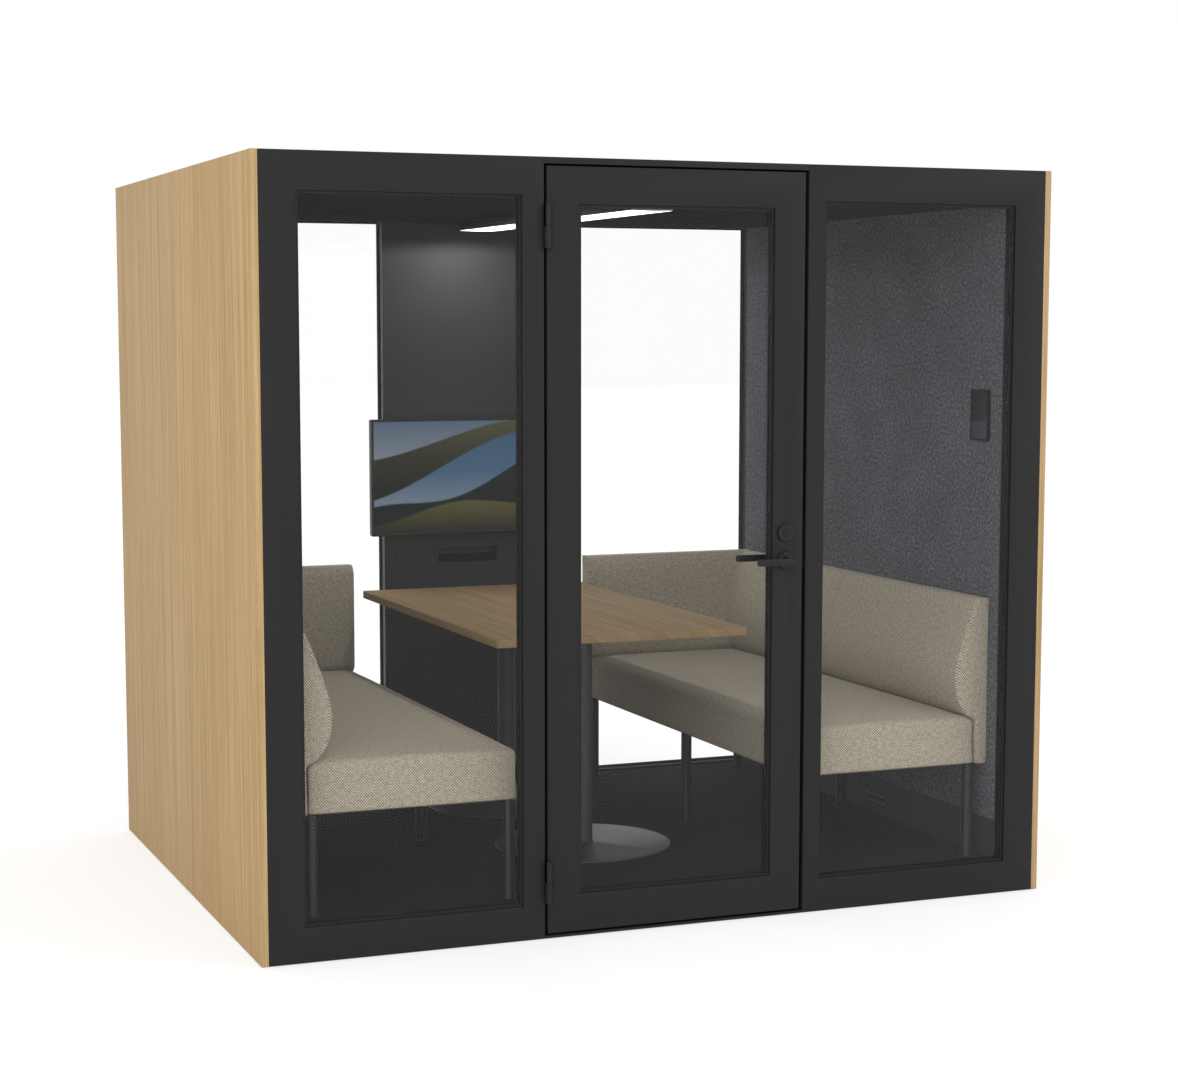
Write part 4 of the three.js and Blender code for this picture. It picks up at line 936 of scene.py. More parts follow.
@dataclass
class Upholstery:
    """The way a padded piece is filled: how far it may swell, how hard, and what its cloth is like."""

    swell: float
    pressure: float = 4.0
    stiffness: float = 30.0
    shear_share: float = 0.6
    bending: float = 0.6
    cloth_mass: float = 0.3
    quality: int = 5
    frames: int = 20

    def cover(
        self, piece: bpy.types.Object, held: Sequence[int], finish: bpy.types.Material
    ) -> bpy.types.Object:
        """Fills a piece, dresses it and rounds it.

        Args:
            piece: the piece, which starts slightly small.
            held: the vertices that seams and frames hold still.
            finish: the cloth.

        Returns:
            The same piece.
        """
        self.settle(piece, held)
        dress(piece, finish)
        self.subdivide(piece)
        return piece

    def settle(self, piece: bpy.types.Object, held: Sequence[int]) -> None:
        """Inflates a piece as cloth and keeps the result.

        Args:
            piece: the piece, which starts slightly small.
            held: the vertices that seams and frames hold still.
        """
        group = piece.vertex_groups.new(name="held")
        group.add(list(held), 1.0, "REPLACE")
        cloth = piece.modifiers.new("cloth", "CLOTH")
        cloth.settings.quality = self.quality
        cloth.settings.mass = self.cloth_mass
        cloth.settings.tension_stiffness = self.stiffness
        cloth.settings.compression_stiffness = self.stiffness
        cloth.settings.shear_stiffness = self.stiffness * self.shear_share
        cloth.settings.bending_stiffness = self.bending
        cloth.settings.use_pressure = True
        cloth.settings.uniform_pressure_force = self.pressure
        cloth.settings.vertex_group_mass = "held"
        cloth.settings.effector_weights.gravity = 0.0
        cloth.collision_settings.use_collision = False
        cloth.point_cache.frame_start = 1
        cloth.point_cache.frame_end = self.frames
        scene = bpy.context.scene
        for step in range(1, self.frames + 1):
            scene.frame_set(step)
        filled = piece.evaluated_get(bpy.context.evaluated_depsgraph_get()).to_mesh()
        count = len(piece.data.vertices)
        before = np.empty(count * 3)
        after = np.empty(count * 3)
        piece.data.vertices.foreach_get("co", before)
        filled.vertices.foreach_get("co", after)
        before, after = before.reshape(-1, 3), after.reshape(-1, 3)
        move = after - before
        length = np.maximum(np.linalg.norm(move, axis=1, keepdims=True), 1e-9)
        move *= np.minimum(1.0, self.swell * np.tanh(length / self.swell) / length)
        piece.modifiers.remove(cloth)
        piece.vertex_groups.remove(group)
        piece.data.vertices.foreach_set("co", (before + move).ravel())
        piece.data.update()
        scene.frame_set(1)
        LOG.info("%s swelled by up to %.1f mm", piece.name, 1000 * float(np.abs(move).max()))

    @staticmethod
    def subdivide(piece: bpy.types.Object) -> None:
        """Rounds a piece by one level of subdivision and keeps the result."""
        modifier = piece.modifiers.new("round", "SUBSURF")
        modifier.levels = modifier.render_levels = 1
        depsgraph = bpy.context.evaluated_depsgraph_get()
        rounded = bpy.data.meshes.new_from_object(piece.evaluated_get(depsgraph), depsgraph=depsgraph)
        piece.modifiers.remove(modifier)
        old = piece.data
        piece.data = rounded
        bpy.data.meshes.remove(old)
        rounded.name = piece.name
        rounded.shade_smooth()


class ClothMesh:
    """A mesh of squares that share their corners and lie on a flat cloth pattern."""

    def __init__(self, spot: Callable[[int, int, int], Point]) -> None:
        """Starts an empty mesh, with the rule that gives each corner's place."""
        self.spot = spot
        self.bm = bmesh.new()
        self.layer = self.bm.loops.layers.uv.new("cloth")
        self.corners: dict[Key, bmesh.types.BMVert] = {}

    def square(self, keys: Sequence[Key], flat: Callable[[int, int, int], Flat]) -> None:
        """Adds one face.

        Args:
            keys: its four corners.
            flat: the rule that gives a corner's place on the cloth.
        """
        for key in keys:
            if key not in self.corners:
                self.corners[key] = self.bm.verts.new(self.spot(*key))
        face = self.bm.faces.new([self.corners[key] for key in keys])
        for loop, key in zip(face.loops, keys):
            loop[self.layer].uv = flat(*key)


@dataclass
class SeatCushion:
    """The long seat: a crowned block with rolled edges, one mesh of squares all round."""

    node: str = "seat_right"
    open_roll: float = 0.020
    wall_roll: float = 0.04
    top_roll: float = 0.026
    foot_roll: float = 0.004
    foot_rise: float = 0.0015
    crown: float = 0.011
    crown_depth: float = 0.06
    waist: float = 0.003
    grid: float = 0.024
    edge_lines: tuple[float, ...] = (0.0, 0.003, 0.008, 0.014, 0.021, 0.030, 0.042)
    side_rise: tuple[float, ...] = (0.0, 0.0015, 0.004, 0.012, 0.03, 0.055, 0.08, 0.102)
    side_fall: tuple[float, ...] = (0.045, 0.034, 0.024, 0.016, 0.009, 0.004, 0.0)
    held_height: float = 0.006
    cord_rise: float = 0.002
    cord_inset: float = 0.001
    cord_bend: float = 0.006
    cord_stops: tuple[float, float] = (0.03, 0.04)
    fill: Upholstery = field(default_factory=lambda: Upholstery(0.004))

    def lattice(self) -> tuple[list[float], list[float], list[float]]:
        """The lines of the block's grid along x, y and z, in metres."""
        low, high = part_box(self.node)
        xs = stations(low[0], high[0], self.grid, self.edge_lines)
        ys = stations(low[1], high[1], self.grid, self.edge_lines)
        foot, top = low[2] + self.foot_rise, high[2] - self.crown
        zs = [foot + r for r in self.side_rise] + [top - f for f in self.side_fall]
        return xs, ys, zs

    def build(self, finish: bpy.types.Material) -> bpy.types.Object:
        """Builds the cushion.

        Args:
            finish: the cloth.

        Returns:
            The filled cushion.
        """
        xs, ys, zs = self.lattice()
        nx, ny, nz = len(xs) - 1, len(ys) - 1, len(zs) - 1
        top = zs[-1]
        cloth = ClothMesh(lambda i, j, k: (xs[i], ys[j], zs[k]))

        def panel(
            rows: int, columns: int, at: Callable[[int, int], Key], flat: Callable[[int, int, int], Flat]
        ) -> None:
            """Lays one side of the block."""
            for r in range(rows):
                for c in range(columns):
                    cloth.square([at(r, c), at(r, c + 1), at(r + 1, c + 1), at(r + 1, c)], flat)

        panel(ny, nx, lambda r, c: (c, r, nz), lambda i, j, k: (xs[i], ys[j]))
        panel(ny, nx, lambda r, c: (nx - c, r, 0), lambda i, j, k: (xs[i], ys[j]))
        panel(nz, nx, lambda r, c: (c, 0, r), lambda i, j, k: (xs[i], ys[0] - top + zs[k]))
        panel(nz, nx, lambda r, c: (nx - c, ny, r), lambda i, j, k: (xs[i], ys[-1] + top - zs[k]))
        panel(nz, ny, lambda r, c: (0, ny - c, r), lambda i, j, k: (xs[0] - top + zs[k], ys[j]))
        panel(nz, ny, lambda r, c: (nx, c, r), lambda i, j, k: (xs[-1] + top - zs[k], ys[j]))
        cloth.bm.verts.index_update()
        mesh = mesh_from(cloth.bm, self.node + "_cushion")
        self._shape(mesh, xs, ys, zs)
        piece = link_object(self.node + "_cushion", mesh)
        held = [v.index for v in mesh.vertices if v.co.z < zs[0] + self.held_height]
        return self.fill.cover(piece, held, finish)

    def _shape(
        self, mesh: bpy.types.Mesh, xs: Sequence[float], ys: Sequence[float], zs: Sequence[float]
    ) -> None:
        """Rolls the edges, draws in the sides and crowns the top.

        Args:
            mesh: the squared block.
            xs: the grid's lines along x.
            ys: the grid's lines along y.
            zs: the grid's lines along z.
        """
        flat = np.empty(len(mesh.vertices) * 3)
        mesh.vertices.foreach_get("co", flat)
        p = flat.reshape(-1, 3)
        low = np.array([xs[0], ys[0], zs[0]])
        high = np.array([xs[-1], ys[-1], zs[-1]])
        below = np.array([self.open_roll, self.open_roll, self.foot_roll])
        above = np.array([self.wall_roll, self.wall_roll, self.top_roll])
        core = np.clip(p, low + below, high - above)
        away = p - core
        reach = np.where(away < 0, below, above)
        t = np.abs(away) / reach
        plan = np.sqrt(t[:, 0] ** 4 + t[:, 1] ** 4)
        norm = np.sqrt(plan + t[:, 2] ** 2)
        p = core + np.sign(away) * reach * t / np.maximum(norm, 1.0)[:, None]
        u = np.clip((p - low) / (high - low), 0.0, 1.0)
        lift = (4 * u[:, 0] * (1 - u[:, 0])) ** 0.6 * (4 * u[:, 1] * (1 - u[:, 1])) ** 0.45
        upper = np.clip((p[:, 2] - (zs[-1] - self.crown_depth)) / self.crown_depth, 0.0, 1.0)
        p[:, 2] += self.crown * lift * upper * upper
        side = np.clip(plan, 0.0, 1.0)[:, None] * np.sin(np.pi * u[:, 2])[:, None]
        p[:, :2] -= np.sign(away[:, :2]) * (t[:, :2] ** 4) * side * self.waist
        mesh.vertices.foreach_set("co", p.ravel())

    def foot_path(self) -> list[Point]:
        """The line of the cord under the open edges, from the wall round to the far end."""
        xs, ys, zs = self.lattice()
        rise = zs[0] + self.cord_rise
        bend = self.cord_bend
        near_x, near_y = xs[0] + self.cord_inset, ys[0] + self.cord_inset
        wall_gap, end_gap = self.cord_stops
        corner = [
            (near_x + bend * (1 - math.sin(a)), near_y + bend * (1 - math.cos(a)), rise)
            for a in (0.0, 0.4, 0.8, 1.2, math.pi / 2)
        ]
        return [(xs[-1] - wall_gap, near_y, rise)] + corner + [(near_x, ys[-1] - end_gap, rise)]


@dataclass
class WallPad:
    """A back pad against a wall: a lofted section that rolls out over the seat, with sewn end panels."""

    node: str
    form: PadForm
    start: float
    stop: float
    start_round: float
    stop_round: float
    foot: float = 0.405
    tuck: float = 0.550
    top: float = 0.944
    panel: float = 0.040
    bulge: float = 0.122
    bulge_height: float = 0.688
    bulge_top: float = 0.044
    top_round: float = 0.012
    flat_face: float = 0.069
    foot_curve: float = 0.034
    shoulder: float = 0.036
    grid: float = 0.024
    end_lines: tuple[float, ...] = (0.0, 0.0015, 0.004, 0.008, 0.014, 0.021)
    layers: int = 5
    held_rows: int = 3
    held_height: float = 0.556
    cloth_wrap: float = 0.04
    end_shift: float = 2.0
    fill: Upholstery = field(default_factory=lambda: Upholstery(0.005))

    def __post_init__(self) -> None:
        """Keeps the faces of the walls that the pad leans on."""
        _, self.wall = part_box(self.node)

    def section(self) -> list[Flat]:
        """The front line of the pad, as distance from the wall and height, from foot to top."""
        line = [(self.panel, self.foot + (self.tuck - self.foot) * i / 5) for i in range(6)]
        return line + (self._flat_front() if self.form is PadForm.FLAT else self._bulged_front())

    def _flat_front(self) -> list[Flat]:
        """The front line of a flat pad above its tuck."""
        tuck, top, face = self.tuck, self.top, self.flat_face
        low, high = tuck + self.foot_curve, top - self.shoulder
        rise = high - tuck - self.foot_curve
        line = bezier(((self.panel, tuck), (0.0545, tuck + 0.003), (face, tuck + 0.014), (face, low)), 8)
        line += [(face, low + rise * i / 13) for i in range(1, 14)]
        line += bezier(((face, high), (face, top - 0.024), (0.0586, top - 0.010), (0.050, top - 0.003)), 6)
        return line + bezier(((0.050, top - 0.003), (0.048, top), (0.044, top), (0.038, top)), 3)

    def _bulged_front(self) -> list[Flat]:
        """The front line of a bulged pad above its tuck."""
        tuck, top = self.tuck, self.top
        out = (self.bulge, self.bulge_height)
        shoulder = (self.bulge_top, top - self.top_round)
        line = bezier(((self.panel, tuck), (0.085, tuck + 0.010), (0.118, tuck + 0.050), out), 12)
        line += bezier((out, (self.bulge, 0.744), (0.072, 0.867), shoulder), 13)
        return line + bezier((shoulder, (0.0405, top - 0.004), (0.037, top), (0.031, top)), 4)

    def place(self, run: float, away: float, height: float) -> Point:
        """A point of the pad in the pod, from its run along the wall, distance from it and height."""
        if self.form is PadForm.FLAT:
            return (run, self.wall[1] - away, height)
        return (self.wall[0] - away, run, height)

    def build(self, finish: bpy.types.Material) -> bpy.types.Object:
        """Builds the pad.

        Args:
            finish: the cloth.

        Returns:
            The filled pad.
        """
        front = self.section()
        runs = stations(0.0, self.stop - self.start, self.grid, self.end_lines)
        depth = self.layers
        arc = [0.0]
        for (a, b), (c, d) in zip(front, front[1:]):
            arc.append(arc[-1] + math.hypot(c - a, d - b))
        last_run, last_rung = len(runs) - 1, len(front) - 1

        def spot(s: int, k: int, m: int) -> Point:
            """The place at a station, a rung of the section and a layer from the wall."""
            away = (front[k][0] - self._ease(runs[s], arc[k] / arc[-1])) * m / depth
            return self.place(self.start + runs[s], away, front[k][1])

        def on_front(s: int, k: int, m: int) -> Flat:
            """Where a front point lies on the cloth."""
            return (self.start + runs[s], arc[k] + self.cloth_wrap * (1 - m / depth))

        def on_end(s: int, k: int, m: int) -> Flat:
            """Where an end point lies on the cloth."""
            return (front[k][0] * m / depth + self.end_shift, front[k][1])

        cloth = ClothMesh(spot)
        square = cloth.square
        for s in range(last_run):
            for k in range(last_rung):
                square([(s, k, depth), (s + 1, k, depth), (s + 1, k + 1, depth), (s, k + 1, depth)], on_front)
                square([(s, k, 0), (s, k + 1, 0), (s + 1, k + 1, 0), (s + 1, k, 0)], on_front)
            for m in range(depth):
                square([(s, 0, m), (s + 1, 0, m), (s + 1, 0, m + 1), (s, 0, m + 1)], on_front)
                end = last_rung
                square([(s, end, m), (s, end, m + 1), (s + 1, end, m + 1), (s + 1, end, m)], on_front)
        for k in range(last_rung):
            for m in range(depth):
                square([(0, k, m), (0, k, m + 1), (0, k + 1, m + 1), (0, k + 1, m)], on_end)
                s = last_run
                square([(s, k, m), (s, k + 1, m), (s, k + 1, m + 1), (s, k, m + 1)], on_end)
        bmesh.ops.recalc_face_normals(cloth.bm, faces=cloth.bm.faces)
        cloth.bm.verts.index_update()
        rows = self.held_rows
        held = [
            v.index
            for (s, k, m), v in cloth.corners.items()
            if m == 0
            or s < rows
            or s > last_run - rows
            or front[k][1] < self.held_height
            or k > last_rung - rows
        ]
        piece = link_object(self.node + "_pad", mesh_from(cloth.bm, self.node + "_pad"))
        return self.fill.cover(piece, held, finish)

    def _ease(self, run: float, height: float) -> float:
        """How far the front draws back near an end, at a share of the way up."""
        rest = self.stop - self.start - run
        drawn = 0.0
        for distance, radius in ((run, self.start_round), (rest, self.stop_round)):
            if distance < radius:
                drawn += radius - math.sqrt(radius**2 - (radius - distance) ** 2)
        return drawn * min(1.0, height * 4.0)


@dataclass
class CornerSofas:
    """The two corner sofas: seats, back pads, wings, edge cords and steel benches."""

    palette: Palette
    cord_radius: float = 0.0011
    cord_spacing: float = 0.009
    leg_ease: float = 0.0012

    def pads(self) -> list[WallPad]:
        """The three pads of the right-hand sofa, from front to corner to back."""
        front_low, front_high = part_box("back_front_right")
        rear_low, rear_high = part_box("back_rear_right")
        wing_low, wing_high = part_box("wing_right")
        return [
            WallPad("back_front_right", PadForm.BULGED, front_low[1], front_high[1], 0.014, 0.012),
            WallPad("back_rear_right", PadForm.BULGED, rear_low[1], rear_high[1], 0.020, 0.0),
            WallPad("wing_right", PadForm.FLAT, wing_low[0], wing_high[0], 0.007, 0.0),
        ]

    def build(self) -> None:
        """Builds both sofas and hangs them on the pod."""
        seat = SeatCushion()
        self._pair(seat.build(self.palette.tweed), "seat")
        for pad in self.pads():
            self._pair(pad.build(self.palette.tweed), pad.node.rsplit("_", 1)[0])
        self._seams(seat.foot_path())
        for side in Side:
            node = "bench_" + side.word
            eased_copy(node, Body.POD, Slot.BLACK_METAL, self.palette.metal, self.leg_ease)

    def _pair(self, piece: bpy.types.Object, stem: str) -> None:
        """Hangs a right-hand cushion and its mirror image.

        Args:
            piece: the cushion on the right.
            stem: the node's name without its side.
        """
        other = mirrored(piece, piece.name.replace("_right", "_left"))
        for made, side in ((piece, Side.RIGHT), (other, Side.LEFT)):
            adopt(made, Body.POD, Slot.TWEED, f"{stem}_{side.word}")

    def _seams(self, path: Sequence[Point]) -> None:
        """Lays a cord of yarn under the open edges of both seats.

        Args:
            path: the cord's line under the right-hand seat.
        """
        bm = bmesh.new()
        for sign in (1.0, -1.0):
            line = [bm.verts.new((sign * x, y, z)) for x, y, z in path]
            for a, b in zip(line, line[1:]):
                bm.edges.new((a, b))
        values = {"Radius": self.cord_radius, "Spacing": self.cord_spacing, "Finish": self.palette.seam}
        piece = cord_tree().run("sofa_seams", mesh_from(bm, "seam paths"), values)
        adopt(piece, Body.POD, Slot.TWEED)


@dataclass
class Shell:
    """The box of the pod: oak sides, lined walls, floor, ceiling, roof, fans and light."""

    palette: Palette
    panel_ease: float = 0.0012
    light_ease: float = 0.0015
    slot_face: float = 1.150
    slot_middle: float = -0.1265
    slot_levels: tuple[float, ...] = (0.138, 0.163, 0.188)
    slat_size: Point = (0.136, 0.008, 0.0016)
    slat_round: float = 0.3
    slat_sink: float = 0.45
    slat_slope: float = 0.55

    def build(self) -> None:
        """Dresses the shell."""
        p = self.palette
        for side in Side:
            eased_copy("side_panel_" + side.word, Body.POD, Slot.OAK, p.oak, self.panel_ease)
            paint_node("wall_" + side.word, p.board)
            paint_node("felt_" + side.word, p.felt)
            paint_node("fan_rotor_" + side.word, p.plastic)
        for node in ("base", "roof"):
            paint_node(node, p.board)
        paint_node("ceiling", p.ceiling)
        paint_node("carpet", p.carpet)
        eased_copy("light_housing", Body.POD, Slot.BLACK_METAL, p.metal, self.light_ease)
        paint_node("light_diffuser", p.lit_cover)
        self._slats()

    def _slats(self) -> None:
        """Puts a sloping grey slat in each air slot of the plinths."""
        length, depth, thick = self.slat_size
        bm = bmesh.new()
        bmesh.ops.create_cube(bm, size=1.0)
        bmesh.ops.scale(bm, vec=(thick, length, depth), verts=bm.verts)
        offset = thick * self.slat_round
        bmesh.ops.bevel(bm, geom=bm.edges[:], offset=offset, segments=2, profile=0.5, affect="EDGES")
        shape = link_object("slat", mesh_from(bm, "slat"))
        places = []
        for side in Side:
            for level in self.slot_levels:
                face = side.value * (self.slot_face + depth * self.slat_sink)
                places.append(((face, self.slot_middle, level), (-side.value, 0.0, self.slat_slope)))
        adopt(repeat_shape("air_slats", shape, places, self.palette.slat), Body.POD, Slot.CHARCOAL_PAINT)


@dataclass
class GlazedEnds:
    """The glazed front and back: frames, panes, gaskets and the middle panel behind."""

    palette: Palette
    frame_ease: float = 0.0015
    bead_radius: float = 0.0035
    bead_stand: float = 0.6
    bead_spacing: float = 0.05
    band_thick: float = 0.001
    band_round: float = 0.4

    def build(self) -> None:
        """Dresses both ends."""
        p = self.palette
        for node in ("front_frame_left", "front_frame_right", "front_head", "front_sill", "back_frame"):
            eased_copy(node, Body.POD, Slot.CHARCOAL_PAINT, p.paint, self.frame_ease)
        paint_node("back_panel", p.board)
        for end in ("front", "back"):
            for side in Side:
                paint_node(f"{end}_glass_{side.word}", p.glass)
        for side in Side:
            paint_node("front_gasket_" + side.word, p.gasket)
        self._beads()
        self._edge_bands()

    def _edge_bands(self) -> None:
        """Covers the upright sides of the back panel, inside the glass, with grey edge bands."""
        low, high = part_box("back_panel")
        glass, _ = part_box("back_glass_right")
        bm = bmesh.new()
        for side in Side:
            face = side.value * (high[0] + self.band_thick / 2)
            size = (self.band_thick, glass[1] - low[1] - 2 * self.bead_radius, high[2] - low[2])
            middle = (face, low[1] + size[1] / 2, (low[2] + high[2]) / 2)
            made = bmesh.ops.create_cube(bm, size=1.0)["verts"]
            bmesh.ops.scale(bm, vec=size, verts=made)
            bmesh.ops.translate(bm, vec=middle, verts=made)
        offset = self.band_thick * self.band_round
        bmesh.ops.bevel(bm, geom=bm.edges[:], offset=offset, segments=2, profile=0.5, affect="EDGES")
        piece = link_object("panel_edge_bands", mesh_from(bm, "panel_edge_bands"))
        smooth_by_angle(piece.data, SMOOTH_ANGLE)
        dress(piece, self.palette.band)
        adopt(piece, Body.POD, Slot.CHARCOAL_PAINT)

    def _beads(self) -> None:
        """Presses a rubber bead round both faces of the back panes."""
        bm = bmesh.new()
        for side in Side:
            low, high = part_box("back_glass_" + side.word)
            inset = self.bead_radius
            x0, x1, z0, z1 = low[0] + inset, high[0] - inset, low[2] + inset, high[2] - inset
            for y in (low[1] - inset * self.bead_stand, high[1] + inset * self.bead_stand):
                ring = ((x0, z0), (x1, z0), (x1, z1), (x0, z1))
                for (xa, za), (xb, zb) in zip(ring, ring[1:] + ring[:1]):
                    bm.edges.new((bm.verts.new((xa, y, za)), bm.verts.new((xb, y, zb))))
        values = {"Radius": self.bead_radius, "Spacing": self.bead_spacing, "Finish": self.palette.rubber}
        piece = cord_tree().run("back_beads", mesh_from(bm, "bead paths"), values)
        adopt(piece, Body.POD, Slot.BLACK_RUBBER)


@dataclass
class Fixings:
    """Countersunk socket screws, one shape repeated by a node tree."""

    palette: Palette
    radius: float = 0.0036
    height: float = 0.0009
    socket: float = 0.0016
    steps: int = 24

    def head(self) -> bpy.types.Object:
        """One screw head that looks along +Z, with a hexagon socket."""
        steps, hollow = self.steps, self.socket / self.radius
        bm = bmesh.new()
        rings = []
        for hexagon, radius, rise in (
            (False, 1.0, -0.4),
            (False, 1.0, 0.45),
            (False, 0.86, 1.0),
            (True, hollow, 1.0),
            (True, hollow, -0.6),
        ):
            ring = []
            for i in range(steps):
                angle = math.tau * i / steps
                bend = math.cos(math.pi / 6) / math.cos((angle % (math.pi / 3)) - math.pi / 6)
                reach = self.radius * radius * (bend if hexagon else 1.0)
                spot = (reach * math.cos(angle), reach * math.sin(angle), rise * self.height)
                ring.append(bm.verts.new(spot))
            rings.append(ring)
        for lower, upper in zip(rings, rings[1:]):
            for i in range(steps):
                bm.faces.new((lower[i], lower[(i + 1) % steps], upper[(i + 1) % steps], upper[i]))
        bm.faces.new(list(reversed(rings[0])))
        bm.faces.new(rings[-1])
        return link_object("screw_head", mesh_from(bm, "screw_head"))

    def drive(self, name: str, body: Body, places: Sequence[tuple[Point, Point]]) -> None:
        """Drives a screw at each place.

        Args:
            name: the name of the piece.
            body: the body that the screws move with.
            places: each screw's seat and the way that its head looks.
        """
        piece = repeat_shape(name, self.head(), places, self.palette.steel)
        adopt(piece, body, Slot.STEEL)


@dataclass
class Door:
    """The glazed door: leaf, pane, hinges, lock and handle."""

    palette: Palette
    leaf_ease: float = 0.0015
    metal_ease: float = 0.0009
    screw_inset: float = 0.011

    def build(self) -> None:
        """Dresses the door and its furniture."""
        p = self.palette
        eased_copy("door_leaf", Body.DOOR, Slot.CHARCOAL_PAINT, p.paint, self.leaf_ease)
        paint_node("door_glass", p.glass)
        paint_node("door_gasket", p.gasket)
        paint_node("door_seal", p.rubber)
        for place in ("upper", "lower"):
            eased_copy(f"hinge_{place}_frame", Body.POD, Slot.BLACK_METAL, p.furniture, 0.0)
            eased_copy(f"hinge_{place}_door", Body.DOOR, Slot.BLACK_METAL, p.furniture, 0.0)
        for node in ("lever_rose", "lock_rose", "inner_lock_plate"):
            eased_copy(node, Body.DOOR, Slot.BLACK_METAL, p.furniture, self.metal_ease)
        eased_copy("lever", Body.LEVER, Slot.BLACK_METAL, p.furniture, self.metal_ease)
        eased_copy("lock_turn", Body.LOCK_TURN, Slot.BLACK_METAL, p.furniture, self.metal_ease)
        for node in ("lock_case", "strike_plate", "latch", "deadbolt"):
            paint_node(node, p.steel)
        self._screws()

    def _screws(self) -> None:
        """Puts screws in the lock's face and the strike plate."""
        fixings = Fixings(self.palette)
        for name, node, body, way in (
            ("lock_screws", "lock_case", Body.DOOR, 1.0),
            ("strike_screws", "strike_plate", Body.POD, -1.0),
        ):
            low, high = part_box(node)
            face = high[0] if way > 0 else low[0]
            middle = (low[1] + high[1]) / 2
            levels = (low[2] + self.screw_inset, high[2] - self.screw_inset)
            fixings.drive(name, body, [((face, middle, z), (way, 0.0, 0.0)) for z in levels])


@dataclass
class MeetingTable:
    """The oak table on two round pedestals."""

    palette: Palette
    top_ease: float = 0.0015
    foot_ease: float = 0.0012

    def build(self) -> None:
        """Dresses the table."""
        p = self.palette
        eased_copy("table_top", Body.POD, Slot.TABLE_OAK, p.table_oak, self.top_ease)
        for node in ("pedestal_front", "pedestal_rear"):
            low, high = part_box(node)
            centre = ((low[0] + high[0]) / 2, (low[1] + high[1]) / 2)
            foot = SatinFoot("satin " + node.replace("_", " "), centre).make()
            eased_copy(node, Body.POD, Slot.CHARCOAL_PAINT, foot, self.foot_ease)


@dataclass
class MediaWall:
    """The display, the cable port under it and the wall control."""

    palette: Palette
    case_ease: float = 0.0015
    control_ease: float = 0.0008

    def build(self) -> None:
        """Dresses the media pieces."""
        p = self.palette
        eased_copy("display_case", Body.POD, Slot.BLACK_PLASTIC, p.plastic, self.case_ease)
        paint_node("display_screen", p.screen)
        paint_node("media_port", p.plastic)
        eased_copy("control_panel", Body.POD, Slot.BLACK_PLASTIC, p.touch_glass, self.control_ease)


@dataclass(frozen=True)
class SoftLamp:
    """A soft square lamp: its place, power in watts and side in metres."""

    name: str
    place: Point
    power: float
    side: float


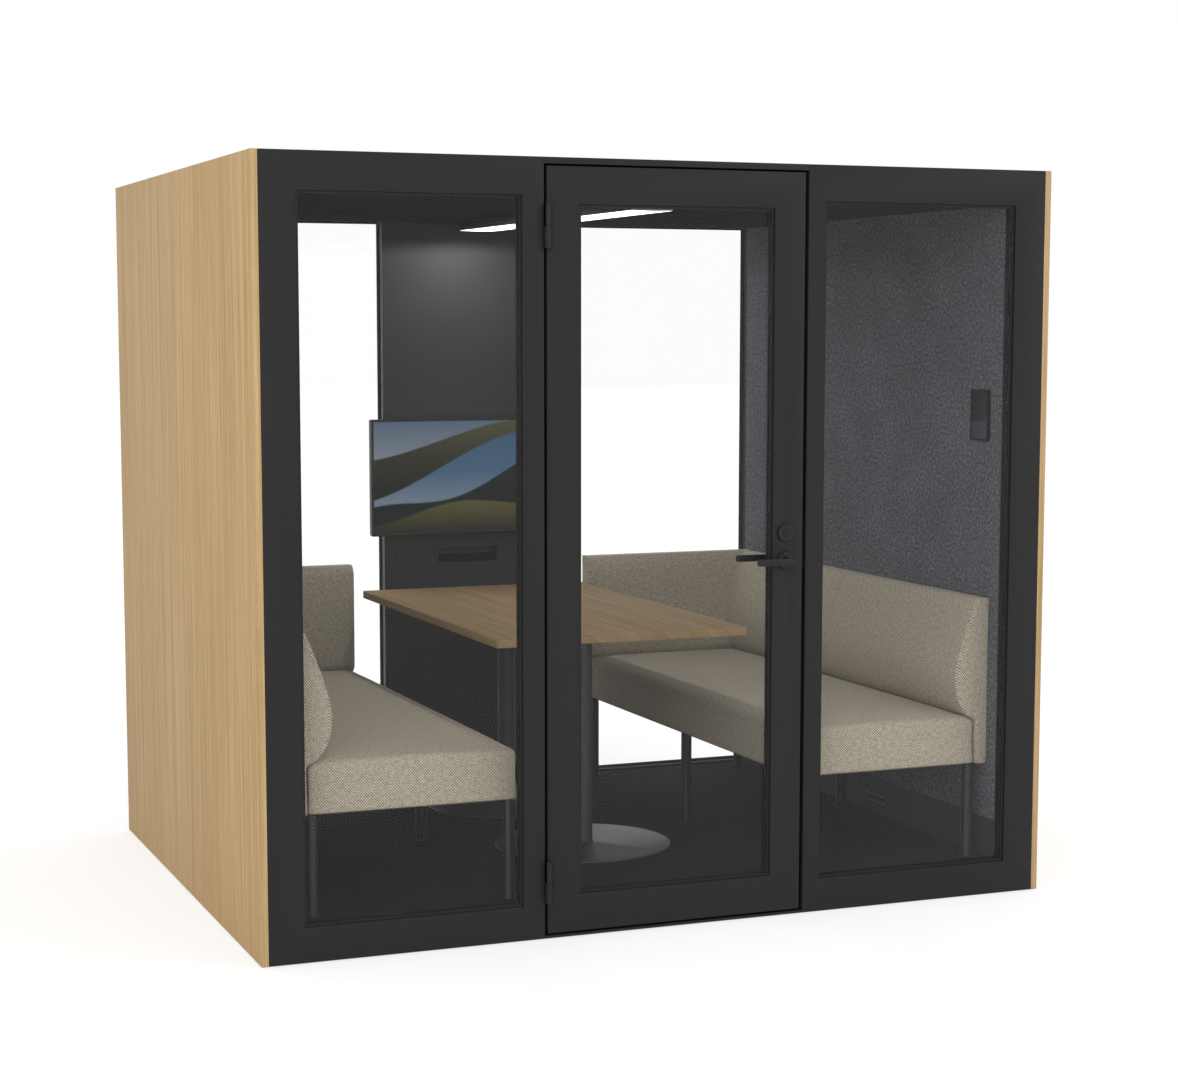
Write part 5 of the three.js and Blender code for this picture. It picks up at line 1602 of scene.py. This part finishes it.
@dataclass
class Studio:
    """The white studio: floor, sky, lamps and the camera at the photograph's place."""

    camera_place: Point = (-2.8327, -7.343, 1.8110)
    camera_tilt: float = 83.81
    camera_turn: float = -21.62
    focal_pixels: float = 2341.3
    shift: tuple[float, float] = (0.0065, 0.0354)
    sensor: float = 36.0
    far_clip: float = 300.0
    floor_half: float = 60.0
    floor_colour: Colour = (0.81, 0.81, 0.815, 1.0)
    floor_glow: float = 1.58
    floor_share: float = 0.36
    white: Colour = (1.0, 1.0, 1.0, 1.0)
    sky_strength: float = 0.94
    strip_power: float = 2.1
    strip_spread: float = 146.0
    strip_drop: float = 0.002
    downlight_power: float = 10.0
    downlight_cone: float = 173.5
    downlight_blend: float = 0.09
    downlight_size: float = 0.04
    downlight_setback: float = 0.2
    downlight_drop: float = 0.01
    key: SoftLamp = SoftLamp("key", (-5.0, -7.2, 2.8), 140.0, 5.0)
    fill: SoftLamp = SoftLamp("fill", (5.5, -5.0, 4.5), 70.0, 4.0)
    lamp_aim: Point = (0.0, 0.0, 1.1)

    def build(self) -> None:
        """Builds the studio."""
        self._camera()
        self._floor()
        self._sky()
        self._strip_lamp()
        self._soft_lamp(self.key)
        self._soft_lamp(self.fill)
        self._downlight()
        bpy.context.scene.view_settings.view_transform = "Standard"

    @staticmethod
    def _hang(name: str, data: bpy.types.ID, place: Sequence[float]) -> bpy.types.Object:
        """Puts a lamp or the camera in the scene at its place."""
        made = bpy.data.objects.new(name, data)
        made.location = place
        bpy.context.scene.collection.objects.link(made)
        return made

    @staticmethod
    def _seen(g: Graph) -> Field:
        """1 for what the camera sees, reflected and through panes too, and 0 for light that only falls."""
        path = g.node("ShaderNodeLightPath", output="Is Camera Ray")
        seen = path + g.other(path, "Is Glossy Ray") + g.other(path, "Is Transmission Ray")
        return seen.between(0.0, 1.0)

    def _camera(self) -> None:
        """Sets the camera up as the photograph was taken."""
        lens = bpy.data.cameras.new("camera")
        lens.sensor_width = self.sensor
        lens.sensor_fit = "HORIZONTAL"
        lens.lens = self.focal_pixels / PHOTO_WIDTH * lens.sensor_width
        lens.shift_x, lens.shift_y = self.shift
        lens.clip_end = self.far_clip
        camera = self._hang("camera", lens, self.camera_place)
        camera.rotation_euler = (math.radians(self.camera_tilt), 0.0, math.radians(self.camera_turn))
        bpy.context.scene.camera = camera

    def _floor(self) -> None:
        """Lays a plain pale floor that shows white but keeps the pod's shadow."""
        bm = bmesh.new()
        half = self.floor_half
        corners = ((-half, -half), (half, -half), (half, half), (-half, half))
        bm.faces.new([bm.verts.new((x, y, 0.0)) for x, y in corners])
        floor = link_object("floor", mesh_from(bm, "floor"))
        g = SurfaceGraph("pale floor")
        share = self._seen(g) * self.floor_share
        matt = g.node("ShaderNodeBsdfDiffuse", {}, {"Color": self.floor_colour})
        glow = g.node("ShaderNodeEmission", {}, {"Color": self.white, "Strength": self.floor_glow})
        dress(floor, g.show(g.node("ShaderNodeMixShader", {}, {0: share, 1: matt, 2: glow})))

    def _sky(self) -> None:
        """Surrounds the pod with soft white light."""
        world = bpy.data.worlds.new("studio")
        world.use_nodes = True
        bpy.context.scene.world = world
        world.node_tree.nodes.clear()
        g = Graph(world.node_tree)
        strength = self._seen(g) * (1.0 - self.sky_strength) + self.sky_strength
        sky = g.node("ShaderNodeBackground", {}, {"Color": self.white, "Strength": strength})
        output = world.node_tree.nodes.new("ShaderNodeOutputWorld")
        g.feed(output.inputs["Surface"], sky)

    def _strip_lamp(self) -> None:
        """Throws the ceiling light's own beam down into the pod, cut off before the tops of the walls."""
        low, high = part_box("light_diffuser")
        light = bpy.data.lights.new("strip", "AREA")
        light.shape = "RECTANGLE"
        light.size, light.size_y = high[0] - low[0], high[1] - low[1]
        light.spread = math.radians(self.strip_spread)
        light.energy = self.strip_power
        middle = ((low[0] + high[0]) / 2, (low[1] + high[1]) / 2)
        self._hang("strip", light, (*middle, low[2] - self.strip_drop))

    def _downlight(self) -> None:
        """Adds the stronger beam at the light's rear end, which leaves a pool on the wall behind it."""
        low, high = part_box("light_diffuser")
        light = bpy.data.lights.new("downlight", "SPOT")
        light.energy = self.downlight_power
        light.spot_size = math.radians(self.downlight_cone)
        light.spot_blend = self.downlight_blend
        light.shadow_soft_size = self.downlight_size
        rear, level = high[1] - self.downlight_setback, low[2] - self.downlight_drop
        self._hang("downlight", light, ((low[0] + high[0]) / 2, rear, level))

    def _soft_lamp(self, lamp: SoftLamp) -> None:
        """Hangs a soft lamp that looks at the pod."""
        light = bpy.data.lights.new(lamp.name, "AREA")
        light.energy = lamp.power
        light.size = lamp.side
        made = self._hang(lamp.name, light, lamp.place)
        aim = Vector(self.lamp_aim) - Vector(lamp.place)
        made.rotation_euler = aim.to_track_quat("-Z", "Y").to_euler()


def main() -> None:
    """Builds the studio and dresses every part of the pod in order."""
    logging.basicConfig(level=logging.INFO, format="%(name)s: %(message)s")
    palette = Palette()
    Studio().build()
    Shell(palette).build()
    GlazedEnds(palette).build()
    Door(palette).build()
    MeetingTable(palette).build()
    MediaWall(palette).build()
    CornerSofas(palette).build()


if __name__ == "__main__":
    main()
